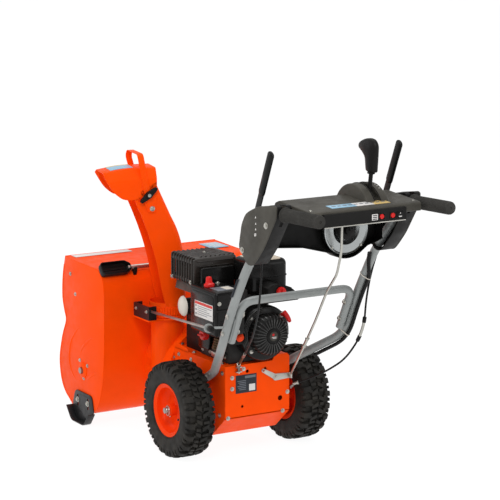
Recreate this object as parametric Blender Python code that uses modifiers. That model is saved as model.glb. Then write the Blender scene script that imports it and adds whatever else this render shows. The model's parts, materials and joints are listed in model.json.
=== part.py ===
"""Two stage snowblower, wheel driven, petrol engine.

Metres, +Z up.  The machine is laid out about the point on the ground under the
middle of its wheel axle: +X is the operator's left, the auger is towards -Y and
the handles are towards +Y.  ROOT moves all of it so that the bottom centre of
its bounding box is the world origin.
"""
import math

import bmesh
import bpy
from mathutils import Matrix, Vector

GAP = 0.0003

# Where the axle point stands from the bottom centre of the bounding box.
ROOT_OFFSET = Vector((-0.0050, -0.0764, 0.0))

# Wheels: 13 inch snow tyres on dished steel rims.
WHEEL_X = 0.2285
WHEEL_R = 0.165
AXLE_R = 0.0098

# Auger housing: 24 inch class, made of 3 mm sheet.
HOUSING_X = 0.312
SHEET = 0.003
AUGER_Y = -0.554
AUGER_Z = 0.191
AUGER_R = 0.142
TUBE_X = 0.300

# Impeller drum behind the auger housing.
FAN_Z = 0.228
DRUM_R = 0.150
DRUM_BACK = -0.213
FAN_R = 0.138

# Discharge chute: it stands turned 13 degrees forward of the operator's left.
CHUTE_X = 0.1036
CHUTE_Y = -0.305
CHUTE_TURN = math.radians(-13.0)
CHUTE_HALF = 0.0625
PIVOT_S = 0.070
PIVOT_Z = 0.811
KNOB_S = 0.084
KNOB_Z = 0.860

# Frame box that carries the wheels, the drive and the engine.
FRAME_X = 0.127
FRAME_TOP = 0.325
FRAME_FRONT = -0.2127
FRAME_REAR = 0.1335

# Engine.
CRANK_X = -0.015
CRANK_Z = 0.430

# Handles.
HANDLE_X = 0.24
HANDLE_R = 0.0145
LEVER_Y = 0.524
LEVER_Z = 0.912

# Speed lever and its linkage.
SPEED_X = -0.075
SPEED_Y = 0.672
SPEED_Z = 0.885
ARM = 0.058

# Chute crank line: through the worm and through the eye on the left upright.
WORM = Vector((0.1845, CHUTE_Y, 0.4425))
EYE = Vector((0.300, 0.326, 0.517))

for old in list(bpy.data.objects):
    bpy.data.objects.remove(old)

PARTS = bpy.data.collections.new("snowblower")
bpy.context.scene.collection.children.link(PARTS)
ROOT = bpy.data.objects.new("snowblower_root", None)
ROOT.location = ROOT_OFFSET
PARTS.objects.link(ROOT)


# ---------------------------------------------------------------- materials

def material(name, colour, roughness, metallic=0.0):
    mat = bpy.data.materials.new(name)
    mat.use_nodes = True
    bsdf = mat.node_tree.nodes["Principled BSDF"]
    bsdf.inputs["Base Color"].default_value = (*colour, 1.0)
    bsdf.inputs["Roughness"].default_value = roughness
    bsdf.inputs["Metallic"].default_value = metallic
    mat.diffuse_color = (*colour, 1.0)
    return mat


ORANGE = (0.86, 0.085, 0.008)
BLACK = (0.012, 0.012, 0.013)
DARK = (0.055, 0.057, 0.062)
TUBE_GREY = (0.17, 0.18, 0.19)
STEEL = (0.55, 0.56, 0.58)
RUBBER = (0.02, 0.02, 0.021)
RED = (0.62, 0.012, 0.01)
BEIGE = (0.66, 0.55, 0.40)
ALLOY = (0.42, 0.43, 0.44)


# ------------------------------------------------------------ shape helpers

def scratch(name, mesh):
    obj = bpy.data.objects.new(name, mesh)
    PARTS.objects.link(obj)
    return obj


def evaluated_mesh(obj):
    bpy.context.view_layer.update()
    depsgraph = bpy.context.evaluated_depsgraph_get()
    return bpy.data.meshes.new_from_object(obj.evaluated_get(depsgraph))


def clean(mesh, distance=0.00001):
    bm = bmesh.new()
    bm.from_mesh(mesh)
    bmesh.ops.remove_doubles(bm, verts=bm.verts, dist=distance)
    bmesh.ops.recalc_face_normals(bm, faces=bm.faces)
    bm.to_mesh(mesh)
    bm.free()


def baked(obj):
    """Apply the modifiers or the curve of a scratch object."""
    mesh = evaluated_mesh(obj)
    name = obj.name
    bpy.data.objects.remove(obj)
    clean(mesh)
    return scratch(name, mesh)


def combine(obj, tool, operation):
    mod = obj.modifiers.new("combine", 'BOOLEAN')
    mod.operation = operation
    mod.solver = 'EXACT'
    mod.object = tool
    mesh = evaluated_mesh(obj)
    obj.modifiers.clear()
    obj.data = mesh
    bpy.data.objects.remove(tool)


def cut(obj, *tools):
    for tool in tools:
        combine(obj, tool, 'DIFFERENCE')
    return obj


def join(obj, *others):
    for other in others:
        combine(obj, other, 'UNION')
    return obj


AXES = {
    "X": Matrix(((0, 0, 1, 0), (1, 0, 0, 0), (0, 1, 0, 0), (0, 0, 0, 1))),
    "Y": Matrix(((1, 0, 0, 0), (0, 0, -1, 0), (0, 1, 0, 0), (0, 0, 0, 1))),
    "Z": Matrix.Identity(4),
}


def prism(outline, axis, low, high):
    """A flat outline given thickness from low to high along an axis."""
    curve = bpy.data.curves.new("outline", 'CURVE')
    curve.dimensions = '2D'
    curve.fill_mode = 'BOTH'
    curve.extrude = (high - low) / 2
    spline = curve.splines.new('POLY')
    spline.points.add(len(outline) - 1)
    for point, (a, b) in zip(spline.points, outline):
        point.co = (a, b, 0.0, 1.0)
    spline.use_cyclic_u = True
    obj = baked(scratch("prism", curve))
    middle = (low + high) / 2
    along = -middle if axis == "Y" else middle
    obj.data.transform(AXES[axis] @ Matrix.Translation((0, 0, along)))
    return obj


def box(low, high, round_edges=0.0):
    bm = bmesh.new()
    bmesh.ops.create_cube(bm, size=1.0)
    size = Vector(high) - Vector(low)
    bmesh.ops.scale(bm, vec=size, verts=bm.verts)
    bmesh.ops.translate(bm, vec=(Vector(high) + Vector(low)) / 2, verts=bm.verts)
    if round_edges:
        bmesh.ops.bevel(bm, geom=bm.edges[:], offset=round_edges, segments=1,
                        profile=0.5, affect='EDGES', clamp_overlap=True)
    mesh = bpy.data.meshes.new("box")
    bm.to_mesh(mesh)
    bm.free()
    return scratch("box", mesh)


def rod(start, end, radius, sides=16, end_radius=None):
    start = Vector(start)
    end = Vector(end)
    turn = (end - start).to_track_quat('Z', 'Y').to_matrix().to_4x4()
    place = Matrix.Translation((start + end) / 2) @ turn
    tip = radius if end_radius is None else end_radius
    bm = bmesh.new()
    bmesh.ops.create_cone(bm, cap_ends=True, segments=sides, radius1=radius,
                          radius2=tip, depth=(end - start).length, matrix=place)
    mesh = bpy.data.meshes.new("rod")
    bm.to_mesh(mesh)
    bm.free()
    return scratch("rod", mesh)


def turned(profile, place, steps=24):
    """A closed (radius, height) profile turned about local Z."""
    mesh = bpy.data.meshes.new("profile")
    bm = bmesh.new()
    verts = [bm.verts.new((r, 0.0, h)) for r, h in profile]
    for a, b in zip(verts, verts[1:] + verts[:1]):
        if a.co.x > 0.0 or b.co.x > 0.0:
            bm.edges.new((a, b))
    bm.to_mesh(mesh)
    bm.free()
    obj = scratch("turned", mesh)
    mod = obj.modifiers.new("turn", 'SCREW')
    mod.axis = 'Z'
    mod.steps = steps
    mod.render_steps = steps
    mod.use_merge_vertices = True
    mod.merge_threshold = 0.00001
    obj = baked(obj)
    obj.data.transform(place)
    return obj


def facing(axis, at):
    """Local Z laid along +X, +Y or +Z, with its zero at a point."""
    turns = {
        "X": Matrix.Rotation(math.pi / 2, 4, 'Y'),
        "Y": Matrix.Rotation(-math.pi / 2, 4, 'X'),
        "Z": Matrix.Identity(4),
    }
    return Matrix.Translation(at) @ turns[axis]


def arc(centre, radius, start, end, count):
    points = []
    for i in range(count):
        a = math.radians(start + (end - start) * i / (count - 1))
        points.append((centre[0] + radius * math.cos(a),
                       centre[1] + radius * math.sin(a)))
    return points


def rounded(points, radius, steps=3):
    """Replace each inner corner of a path by a short arc of straight steps."""
    points = [Vector(p) for p in points]
    path = [points[0]]
    for before, corner, after in zip(points, points[1:], points[2:]):
        a = (before - corner).normalized()
        b = (after - corner).normalized()
        reach = min(radius, (before - corner).length * 0.45,
                    (after - corner).length * 0.45)
        first = corner + a * reach
        last = corner + b * reach
        for i in range(steps + 1):
            t = i / steps
            path.append(first.lerp(corner, t).lerp(corner.lerp(last, t), t))
    path.append(points[-1])
    return path


def tube(path, radius, resolution=2):
    curve = bpy.data.curves.new("tube", 'CURVE')
    curve.dimensions = '3D'
    curve.bevel_depth = radius
    curve.bevel_resolution = resolution
    curve.use_fill_caps = True
    spline = curve.splines.new('POLY')
    spline.points.add(len(path) - 1)
    for point, where in zip(spline.points, path):
        point.co = (*where, 1.0)
    return baked(scratch("tube", curve))


def hollow_tube(path, radius, wall, resolution=2):
    path = [Vector(p) for p in path]
    first = path[0] + (path[0] - path[1]).normalized() * 0.002
    last = path[-1] + (path[-1] - path[-2]).normalized() * 0.002
    bore = [first] + path[1:-1] + [last]
    return cut(tube(path, radius, resolution), tube(bore, radius - wall, resolution))


def sheet(rows, thickness):
    """An open grid of points given thickness on its inner side."""
    bm = bmesh.new()
    grid = [[bm.verts.new(p) for p in row] for row in rows]
    for lower, upper in zip(grid, grid[1:]):
        for a, b, c, d in zip(lower, lower[1:], upper[1:], upper):
            bm.faces.new((a, b, c, d))
    mesh = bpy.data.meshes.new("sheet")
    bm.to_mesh(mesh)
    bm.free()
    obj = scratch("sheet", mesh)
    mod = obj.modifiers.new("thickness", 'SOLIDIFY')
    mod.thickness = thickness
    mod.offset = 0.0
    mod.use_even_offset = True
    return baked(obj)


def offset_outline(outline, distance):
    """Move a closed outline's edges outwards (counter-clockwise outline)."""
    area = sum(a[0] * b[1] - b[0] * a[1]
               for a, b in zip(outline, outline[1:] + outline[:1]))
    side = 1.0 if area > 0 else -1.0
    moved = []
    count = len(outline)
    for i in range(count):
        p = Vector(outline[i - 1])
        q = Vector(outline[i])
        r = Vector(outline[(i + 1) % count])
        d1 = (q - p).normalized()
        d2 = (r - q).normalized()
        n1 = Vector((d1.y, -d1.x)) * side
        n2 = Vector((d2.y, -d2.x)) * side
        miter = (n1 + n2).normalized()
        reach = distance / max(0.35, miter.dot(n1))
        moved.append(tuple(q + miter * reach))
    return moved


def mirrored(obj):
    mesh = obj.data.copy()
    mesh.transform(Matrix.Scale(-1.0, 4, (1, 0, 0)))
    mesh.flip_normals()
    return scratch("mirrored", mesh)


def finish(obj, name, mat, origin=(0.0, 0.0, 0.0)):
    """Name a piece, give it its material and put its origin on its axis."""
    origin = Vector(origin)
    obj.name = name
    obj.data.name = name
    obj.data.transform(Matrix.Translation(-origin))
    obj.data.materials.clear()
    obj.data.materials.append(mat)
    obj.data.shade_smooth()
    obj.data.set_sharp_from_angle(angle=math.radians(35))
    obj.location = origin
    obj.parent = ROOT
    return obj


def rod_bore(axis, at, radius, low, high):
    ends = []
    for value in (low, high):
        point = list(at)
        point["XYZ".index(axis)] = value
        ends.append(point)
    return rod(ends[0], ends[1], radius)


# ------------------------------------------------------------ auger housing

HOUSING_TOP = [(-0.685, 0.585), (-0.520, 0.581), (-0.446, 0.580),
               (-0.415, 0.571), (-0.392, 0.545), (-0.385, 0.510)]
HOUSING_REAR = [(-0.385, 0.400), (-0.388, 0.290), (-0.402, 0.170),
                (-0.435, 0.085), (-0.485, 0.040)]
HOUSING_FRONT = [(-0.640, 0.040), (-0.662, 0.060), (-0.694, 0.079),
                 (-0.722, 0.110), (-0.737, 0.152), (-0.740, 0.208),
                 (-0.716, 0.287), (-0.685, 0.349), (-0.696, 0.384),
                 (-0.710, 0.430), (-0.708, 0.493), (-0.698, 0.542)]
HOUSING = HOUSING_TOP + HOUSING_REAR + HOUSING_FRONT


def housing_inside():
    walls = offset_outline(HOUSING_TOP + HOUSING_REAR + [HOUSING_FRONT[0]], -SHEET)
    top = walls[0][1]
    floor = walls[-1][1]
    return [(-0.80, top)] + walls[1:-1] + [(-0.645, floor), (-0.80, floor)]


def auger_housing():
    shell = prism(HOUSING, "X", -HOUSING_X, HOUSING_X)
    inside = HOUSING_X - SHEET
    cut(shell, prism(housing_inside(), "X", -inside, inside))
    cut(shell, rod_bore("Y", (0, 0, FAN_Z), DRUM_R - SHEET, -0.50, -0.30))
    cut(shell, rod_bore("X", (0, AUGER_Y, AUGER_Z), 0.0118, -0.4, 0.4))
    for side in (-1, 1):
        flange = rod((side * (HOUSING_X - 0.001), AUGER_Y, AUGER_Z),
                     (side * (HOUSING_X + 0.006), AUGER_Y, AUGER_Z), 0.028)
        cut(flange, rod_bore("X", (0, AUGER_Y, AUGER_Z), 0.0118, -0.4, 0.4))
        join(shell, flange)
    finish(shell, "auger_housing", material("housing_orange", ORANGE, 0.32))


def impeller_housing():
    front = -0.47
    body = rod((0, front, FAN_Z), (0, DRUM_BACK, FAN_Z), DRUM_R, 28)
    spout = (CHUTE_X, CHUTE_Y)
    join(body, rod((*spout, 0.229), (*spout, 0.418), 0.058, 20))
    join(body, rod((*spout, 0.413), (*spout, 0.418), 0.072, 20))
    join(body, box((0.150, -0.362, 0.413), (0.2075, -0.248, 0.418)))
    cut(body, rod((0, front - 0.01, FAN_Z), (0, DRUM_BACK - SHEET, FAN_Z),
                  DRUM_R - SHEET, 28))
    cut(body, rod((*spout, 0.232), (*spout, 0.430), 0.055, 20))
    cut(body, rod_bore("Y", (0, 0, FAN_Z), 0.0096, -0.25, -0.20))
    cut(body, prism(offset_outline(HOUSING, GAP), "X", -0.32, 0.32))
    finish(body, "impeller_housing", material("drum_orange", ORANGE, 0.34))


def scraper_bar():
    bar = box((-0.300, -0.660, 0.0327), (0.300, -0.590, 0.0397))
    cut(bar, box((-0.31, -0.70, 0.036), (0.31, -0.645, 0.05)))
    finish(bar, "scraper_bar", material("scraper_steel", STEEL, 0.45, 0.9))


def skid_shoes():
    foot = [(-0.620, 0.120), (-0.640, 0.045), (-0.600, 0.0), (-0.500, 0.0),
            (-0.462, 0.045), (-0.467, 0.120)]
    hollow = [(-0.6355, 0.200), (-0.6355, 0.0465), (-0.598, 0.004),
              (-0.502, 0.004), (-0.4665, 0.0465), (-0.4665, 0.200)]
    inner = HOUSING_X + GAP
    shoe = prism(foot, "X", inner, 0.3405)
    cut(shoe, prism(hollow, "X", inner + 0.004, 0.36))
    other = mirrored(shoe)
    skid = material("skid_black", BLACK, 0.45)
    finish(shoe, "skid_shoe_left", skid)
    finish(other, "skid_shoe_right", skid)


# ------------------------------------------------------------------- auger

def ribbon(side):
    rows = []
    steps = 24
    for i in range(steps + 1):
        t = i / steps
        a = math.radians(90 + side * 520 * t)
        x = side * (0.034 + (TUBE_X - 0.038) * t)
        rows.append([(x, AUGER_Y + r * math.cos(a), AUGER_Z + r * math.sin(a))
                     for r in (0.106, AUGER_R)])
    return sheet(rows, 0.0032)


def auger_half(side, name, mat):
    start = side * 0.0215
    axis_at = (0, AUGER_Y, AUGER_Z)
    piece = rod((start, AUGER_Y, AUGER_Z), (side * TUBE_X, AUGER_Y, AUGER_Z), 0.0165)
    for t in (0.10, 0.42, 0.72, 0.95):
        a = math.radians(90 + side * 520 * t)
        x = side * (0.034 + (TUBE_X - 0.038) * t)
        tip = (x, AUGER_Y + 0.118 * math.cos(a), AUGER_Z + 0.118 * math.sin(a))
        root = (x, AUGER_Y + 0.008 * math.cos(a), AUGER_Z + 0.008 * math.sin(a))
        join(piece, rod(root, tip, 0.0065, 6))
    join(piece, ribbon(side))
    cut(piece, rod_bore("X", axis_at, 0.0114, -0.4, 0.4))
    finish(piece, name, mat, axis_at)


def augers():
    mat = material("auger_black", BLACK, 0.4)
    auger_half(1, "auger_left", mat)
    auger_half(-1, "auger_right", mat)
    shaft = rod((-0.325, AUGER_Y, AUGER_Z), (0.325, AUGER_Y, AUGER_Z), 0.011)
    join(shaft, rod((-0.008, AUGER_Y, AUGER_Z), (0.008, AUGER_Y, AUGER_Z), 0.026, 24))
    finish(shaft, "auger_axle", material("axle_steel", STEEL, 0.35, 1.0),
           (0, AUGER_Y, AUGER_Z))


def auger_gearbox():
    case = rod((-0.020, AUGER_Y, AUGER_Z), (0.020, AUGER_Y, AUGER_Z), 0.040, 20)
    join(case, rod((0, -0.615, FAN_Z), (0, -0.495, FAN_Z), 0.0187))
    cavity = box((-0.0148, -0.5835, 0.1615), (0.0148, -0.5245, 0.2415))
    cut(case, cavity)
    cut(case, rod_bore("X", (0, AUGER_Y, AUGER_Z), 0.0118, -0.03, 0.03))
    cut(case, rod((0, -0.604, FAN_Z), (0, -0.480, FAN_Z), 0.0094))
    finish(case, "auger_gearbox", material("gearbox_iron", DARK, 0.5, 0.6))


# ----------------------------------------------------------------- impeller

def impeller():
    middle = (0, -0.2975, FAN_Z)
    fan = rod((0, -0.355, FAN_Z), (0, -0.235, FAN_Z), 0.020)
    for i in range(4):
        blade = box((0.012, -0.355, -0.0018), (FAN_R, -0.235, 0.0018))
        turn = Matrix.Rotation(math.radians(45 + 90 * i), 4, 'Y')
        blade.data.transform(Matrix.Translation((0, 0, FAN_Z)) @ turn)
        join(fan, blade)
    cut(fan, rod_bore("Y", (0, 0, FAN_Z), 0.0089, -0.37, -0.22))
    finish(fan, "impeller", material("impeller_black", BLACK, 0.45), middle)
    shaft = rod((0, -0.600, FAN_Z), (0, -0.155, FAN_Z), 0.0085)
    join(shaft, rod((0, -0.570, FAN_Z), (0, -0.538, FAN_Z), 0.0105))
    pulley = [(0.0, 0.0), (0.085, 0.0), (0.085, 0.003), (0.074, 0.010),
              (0.085, 0.017), (0.085, 0.020), (0.0, 0.020)]
    join(shaft, turned(pulley, facing("Y", (0, -0.186, FAN_Z)), 18))
    finish(shaft, "impeller_shaft", material("shaft_steel", STEEL, 0.35, 1.0), middle)


# -------------------------------------------------------------------- chute

CHUTE_PLACE = (Matrix.Translation((CHUTE_X, CHUTE_Y, 0))
               @ Matrix.Rotation(CHUTE_TURN, 4, 'Z'))


def chute_rows():
    """Channel sections, each: height, back wall, open edge (along the throw)."""
    levels = [(0.462, -0.052, 0.022), (0.520, -0.054, 0.036),
              (0.592, -0.050, 0.049), (0.664, -0.043, 0.066),
              (0.730, -0.024, 0.087), (0.786, 0.002, 0.108),
              (0.839, 0.026, 0.129), (0.893, 0.050, 0.140)]
    half = CHUTE_HALF - 0.00125
    corner = 0.020
    rows = []
    for z, back, edge in levels:
        drop = 0.040 if z > 0.88 else 0.0
        rows.append([(edge, -half, z - drop), (back + corner, -half, z),
                     (back, corner - half, z), (back, half - corner, z),
                     (back + corner, half, z), (edge, half, z - drop)])
    return rows


def chute():
    body = sheet(chute_rows(), 0.0025)
    base = [(0.0610, 0.4205), (0.0635, 0.4205), (0.0635, 0.4300),
            (0.0690, 0.4300), (0.0690, 0.4550), (0.0635, 0.4550),
            (0.0635, 0.4720), (0.0610, 0.4720)]
    join(body, turned(base, Matrix.Identity(4), 20))
    start = math.degrees(math.atan2(KNOB_Z - PIVOT_Z, KNOB_S - PIVOT_S))
    reach = math.hypot(KNOB_Z - PIVOT_Z, KNOB_S - PIVOT_S)
    centre = (PIVOT_S, PIVOT_Z)
    slot = (arc(centre, reach + 0.0042, start + 5, start - 45, 6)
            + arc(centre, reach - 0.0042, start - 45, start + 5, 6))
    cut(body, prism(slot, "Y", 0.05, 0.08))
    cut(body, rod((PIVOT_S, -0.08, PIVOT_Z), (PIVOT_S, 0.08, PIVOT_Z), 0.0046))
    body.data.transform(CHUTE_PLACE)
    finish(body, "chute", material("chute_orange", ORANGE, 0.32),
           (CHUTE_X, CHUTE_Y, 0))


def deflector_rows():
    """Hood sections along the throw, each: distance, lower edge, top."""
    stations = [(0.052, 0.891, 0.950), (0.128, 0.845, 0.950),
                (0.167, 0.846, 0.948), (0.191, 0.860, 0.945),
                (0.212, 0.882, 0.942), (0.238, 0.925, 0.938)]
    half = 0.0655
    rows = []
    for s, low, top in stations:
        shoulder = max(low + 0.004, top - 0.032)
        inner = half - 0.018
        rows.append([(s, half, low), (s, half, shoulder), (s, inner, top),
                     (s, -inner, top), (s, -half, shoulder), (s, -half, low)])
    return rows


def deflector_strap():
    path = [(0.0680, 0.800, 0.070), (0.0680, 0.860, 0.085),
            (0.0680, 0.930, 0.100), (0.0680, 0.980, 0.107),
            (0.0580, 1.001, 0.109), (-0.0580, 1.001, 0.115),
            (-0.0680, 0.980, 0.117), (-0.0680, 0.930, 0.104),
            (-0.0680, 0.860, 0.085), (-0.0680, 0.800, 0.070)]
    rows = [[(s - 0.011, n, z), (s + 0.011, n, z)] for n, z, s in path]
    return sheet(rows, 0.0028)


def deflector():
    hood = sheet(deflector_rows(), 0.0025)
    for side in (-1, 1):
        ear = [(0.052, 0.900), (0.056, 0.795), (0.084, 0.795), (0.110, 0.870)]
        low = side * 0.0655 - 0.00125
        join(hood, prism(ear, "Y", low, low + 0.0025))
    join(hood, deflector_strap())
    pin = rod((PIVOT_S, 0.0560, PIVOT_Z), (PIVOT_S, 0.0750, PIVOT_Z), 0.0040, 16)
    join(hood, pin, rod((PIVOT_S, 0.069, PIVOT_Z), (PIVOT_S, 0.075, PIVOT_Z), 0.008, 16))
    far = rod((PIVOT_S, -0.0560, PIVOT_Z), (PIVOT_S, -0.0750, PIVOT_Z), 0.0040, 16)
    join(hood, far, rod((PIVOT_S, -0.069, PIVOT_Z), (PIVOT_S, -0.075, PIVOT_Z), 0.008, 16))
    cut(hood, rod((KNOB_S, 0.06, KNOB_Z), (KNOB_S, 0.08, KNOB_Z), 0.0042, 16))
    hood.data.transform(CHUTE_PLACE)
    axis_at = CHUTE_PLACE @ Vector((PIVOT_S, 0, PIVOT_Z))
    finish(hood, "deflector", material("deflector_orange", ORANGE, 0.32), axis_at)


def wing_knob():
    knob = rod((KNOB_S, 0.0700, KNOB_Z), (KNOB_S, 0.0860, KNOB_Z), 0.012, 20)
    wing = box((-0.038, 0.0715, -0.006), (0.038, 0.0830, 0.006), 0.002)
    wing.data.transform(Matrix.Translation((KNOB_S, 0, KNOB_Z))
                        @ Matrix.Rotation(math.radians(40.0), 4, 'Y'))
    join(knob, wing)
    join(knob, rod((KNOB_S, 0.0540, KNOB_Z), (KNOB_S, 0.0720, KNOB_Z), 0.0035, 16))
    knob.data.transform(CHUTE_PLACE)
    finish(knob, "wing_knob", material("knob_black", BLACK, 0.4),
           CHUTE_PLACE @ Vector((KNOB_S, 0.078, KNOB_Z)))


CRANK_LINE = (EYE - WORM).normalized()


def on_crank(y):
    return WORM + CRANK_LINE * ((y - WORM.y) / CRANK_LINE.y)


def chute_drive_bracket():
    case = box((0.1765, -0.360, 0.4183), (0.2070, -0.250, 0.4660))
    cut(case, box((0.1700, -0.352, 0.4215), (0.2030, -0.258, 0.4800)))
    cut(case, rod(on_crank(-0.38), on_crank(-0.23), 0.0058, 20))
    finish(case, "chute_drive_bracket", material("bracket_black", BLACK, 0.4))


def chute_crank():
    shaft = rod(on_crank(-0.372), on_crank(0.372), 0.0048, 16)
    join(shaft, rod(on_crank(-0.344), on_crank(-0.266), 0.0085, 16))
    join(shaft, rod(on_crank(0.338), on_crank(0.374), 0.020, 20, 0.016))
    finish(shaft, "chute_crank", material("crank_steel", ALLOY, 0.4, 0.9), WORM)


# -------------------------------------------------------------------- frame

def frame_case():
    side = [(FRAME_FRONT, FRAME_TOP), (FRAME_REAR, FRAME_TOP), (FRAME_REAR, 0.145),
            (0.045, 0.070), (-0.100, 0.060), (FRAME_FRONT, 0.100)]
    hollow = [(FRAME_FRONT + 0.0025, FRAME_TOP - 0.0025), (0.20, FRAME_TOP - 0.0025),
              (0.20, 0.0), (0.046, 0.0), (0.0445, 0.0726), (-0.0998, 0.0626),
              (FRAME_FRONT + 0.0025, 0.1018)]
    case = prism(side, "X", -FRAME_X, FRAME_X)
    cut(case, prism(hollow, "X", -FRAME_X + 0.0025, FRAME_X - 0.0025))
    cut(case, rod_bore("Y", (0, 0, FAN_Z), 0.0110, -0.23, -0.20))
    cut(case, rod_bore("X", (0, 0, WHEEL_R), 0.0106, -0.2, 0.2))
    cut(case, box((-0.060, -0.200, 0.30), (0.060, -0.145, 0.34)))
    finish(case, "frame_case", material("frame_orange", ORANGE, 0.34))


def rear_panel():
    outline = [(-0.1265, 0.146), (0.1265, 0.146), (0.1265, 0.325), (-0.058, 0.325),
               (-0.070, 0.344), (-0.118, 0.344), (-0.1265, 0.334)]
    low = FRAME_REAR + GAP
    panel = prism(outline, "Y", low, low + 0.0025)
    for x, z, r in ((-0.030, 0.300, 0.006), (0.040, 0.300, 0.006),
                    (-0.090, 0.190, 0.009), (0.060, 0.180, 0.005)):
        cut(panel, rod((x, 0.12, z), (x, 0.15, z), r, 10))
    finish(panel, "rear_panel", material("panel_orange", ORANGE, 0.34))


def bottom_cover():
    low = Vector((0.0452, 0.0697))
    high = Vector((0.1310, 0.1425))
    out = Vector((0.0016, -0.0019))
    outline = [tuple(low), tuple(low + out), tuple(high + out), tuple(high)]
    cover = prism(outline, "X", -FRAME_X, FRAME_X)
    finish(cover, "bottom_cover", material("cover_orange", ORANGE, 0.36))


def open_box(low, high, wall, open_side, round_edges=0.0):
    """A sheet box with one low side left open, its edges rounded outside."""
    a = [v + wall for v in low]
    b = [v - wall for v in high]
    start = list(low)
    index = "XYZ".index(open_side)
    start[index] -= round_edges + 0.002
    a[index] -= 0.06
    shell = cut(box(start, high, round_edges), box(a, b, round_edges - wall))
    far = [v + 0.013 for v in high]
    far[index] = low[index]
    return cut(shell, box([v - 0.083 for v in low], far))


def belt_cover():
    cover = open_box((-0.090, -0.203, FRAME_TOP + GAP), (0.090, -0.079, 0.470),
                     0.0025, "Z", 0.012)
    cut(cover, rod((CRANK_X, -0.10, CRANK_Z), (CRANK_X, -0.06, CRANK_Z), 0.0145))
    finish(cover, "belt_cover", material("cover_black", BLACK, 0.4))


# ------------------------------------------------------------------- wheels

def wheels():
    outer = [(0.0808, 0.0395), (0.0905, 0.0446), (0.112, 0.0535), (0.145, 0.0535),
             (WHEEL_R, 0.036)]
    inner = [(0.157, 0.030), (0.135, 0.0455), (0.0808, 0.030)]
    tyre = (outer + [(r, -x) for r, x in reversed(outer)]
            + [(r, -x) for r, x in reversed(inner)] + inner)
    rim = [(0.0102, 0.042), (0.021, 0.042), (0.021, 0.014), (0.060, 0.010),
           (0.0775, 0.020), (0.0775, 0.043), (0.0905, 0.0470), (0.0805, 0.040),
           (0.0805, -0.040), (0.0905, -0.0470), (0.0775, -0.043), (0.0775, 0.0155),
           (0.060, 0.0065), (0.021, 0.0105), (0.021, -0.030), (0.0102, -0.030)]
    rubber = material("tyre_rubber", RUBBER, 0.8)
    paint = material("rim_grey", STEEL, 0.4, 0.5)
    for side, label in ((1, "left"), (-1, "right")):
        at = (side * WHEEL_X, 0, WHEEL_R)
        place = facing("X", at) @ Matrix.Scale(side, 4, (0, 0, 1))
        for profile, name, mat in ((tyre, "tyre_", rubber), (rim, "rim_", paint)):
            piece = turned(profile, place, 20)
            clean(piece.data)
            finish(piece, name + label, mat, at)


def wheel_axle():
    axle = rod((-0.285, 0, WHEEL_R), (0.285, 0, WHEEL_R), AXLE_R)
    join(axle, rod((0.035, 0, WHEEL_R), (0.045, 0, WHEEL_R), 0.050, 20))
    finish(axle, "wheel_axle", material("wheel_axle_steel", STEEL, 0.35, 1.0),
           (0, 0, WHEEL_R))


# ------------------------------------------------------------------- engine

def engine_block():
    floor = FRAME_TOP + GAP
    block = box((-0.070, -0.075, floor), (0.100, 0.1135, 0.480), 0.004)
    cut(block, box((0.0825, 0.010, 0.4445), (0.110, 0.120, 0.490)))
    join(block, box((-0.060, -0.070, 0.470), (0.0825, 0.1125, 0.556), 0.004))
    join(block, box((0.0225, -0.068, 0.550), (0.0820, 0.1110, 0.5755), 0.003))
    join(block, rod((0.095, 0.030, 0.418), (0.1365, 0.030, 0.418), 0.013))
    cut(block, box((-0.060, -0.062, 0.336), (0.075, 0.100, 0.468)))
    cut(block, rod_bore("Y", (CRANK_X, 0, CRANK_Z), 0.0140, -0.10, 0.13))
    cut(block, rod((0.085, 0.030, 0.418), (0.15, 0.030, 0.418), 0.009))
    finish(block, "engine_block", material("engine_alloy", ALLOY, 0.45, 0.8))


def crankshaft():
    shaft = rod((CRANK_X, -0.192, CRANK_Z), (CRANK_X, 0.158, CRANK_Z), 0.0125)
    pulley = [(0.0, 0.0), (0.035, 0.0), (0.035, 0.003), (0.026, 0.010),
              (0.035, 0.017), (0.035, 0.020), (0.0, 0.020)]
    join(shaft, turned(pulley, facing("Y", (CRANK_X, -0.186, CRANK_Z)), 18))
    join(shaft, rod((CRANK_X, 0.120, CRANK_Z), (CRANK_X, 0.150, CRANK_Z), 0.080, 24))
    web = box((CRANK_X - 0.012, -0.020, CRANK_Z - 0.034),
              (CRANK_X + 0.012, 0.040, CRANK_Z + 0.034))
    join(shaft, web)
    finish(shaft, "crankshaft", material("crank_iron", DARK, 0.4, 0.9),
           (CRANK_X, 0, CRANK_Z))


def blower_housing():
    place = facing("Y", (CRANK_X, 0, CRANK_Z))
    cup = [(0.095, 0.1165), (0.095, 0.158), (0.088, 0.165), (0.050, 0.165),
           (0.050, 0.1625), (0.087, 0.1625), (0.0925, 0.157), (0.0925, 0.1165)]
    finish(turned(cup, place, 20), "blower_housing",
           material("blower_black", BLACK, 0.45))


def recoil_cover():
    place = facing("Y", (CRANK_X, 0, CRANK_Z))
    cup = [(0.068, 0.1653), (0.068, 0.200), (0.060, 0.212), (0.025, 0.215),
           (0.0, 0.215), (0.0, 0.2125), (0.025, 0.2125), (0.0585, 0.2095),
           (0.0655, 0.199), (0.0655, 0.1653)]
    finish(turned(cup, place, 20), "recoil_cover",
           material("recoil_black", BLACK, 0.5))


def recoil_handle():
    at = Vector((-0.076, 0.1995, 0.489))
    grip = rod(at + Vector((0.011, 0, 0.018)), at - Vector((0.011, 0, 0.018)), 0.0075, 16)
    join(grip, rod((at.x, 0.166, at.z), (at.x, at.y, at.z), 0.0055, 16))
    finish(grip, "recoil_handle", material("recoil_red", RED, 0.35), at)


def cylinder_shroud():
    shroud = open_box((0.0830, 0.025, 0.445), (0.200, 0.200, 0.598), 0.0025,
                      "X", 0.010)
    finish(shroud, "cylinder_shroud", material("shroud_black", BLACK, 0.38))


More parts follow.
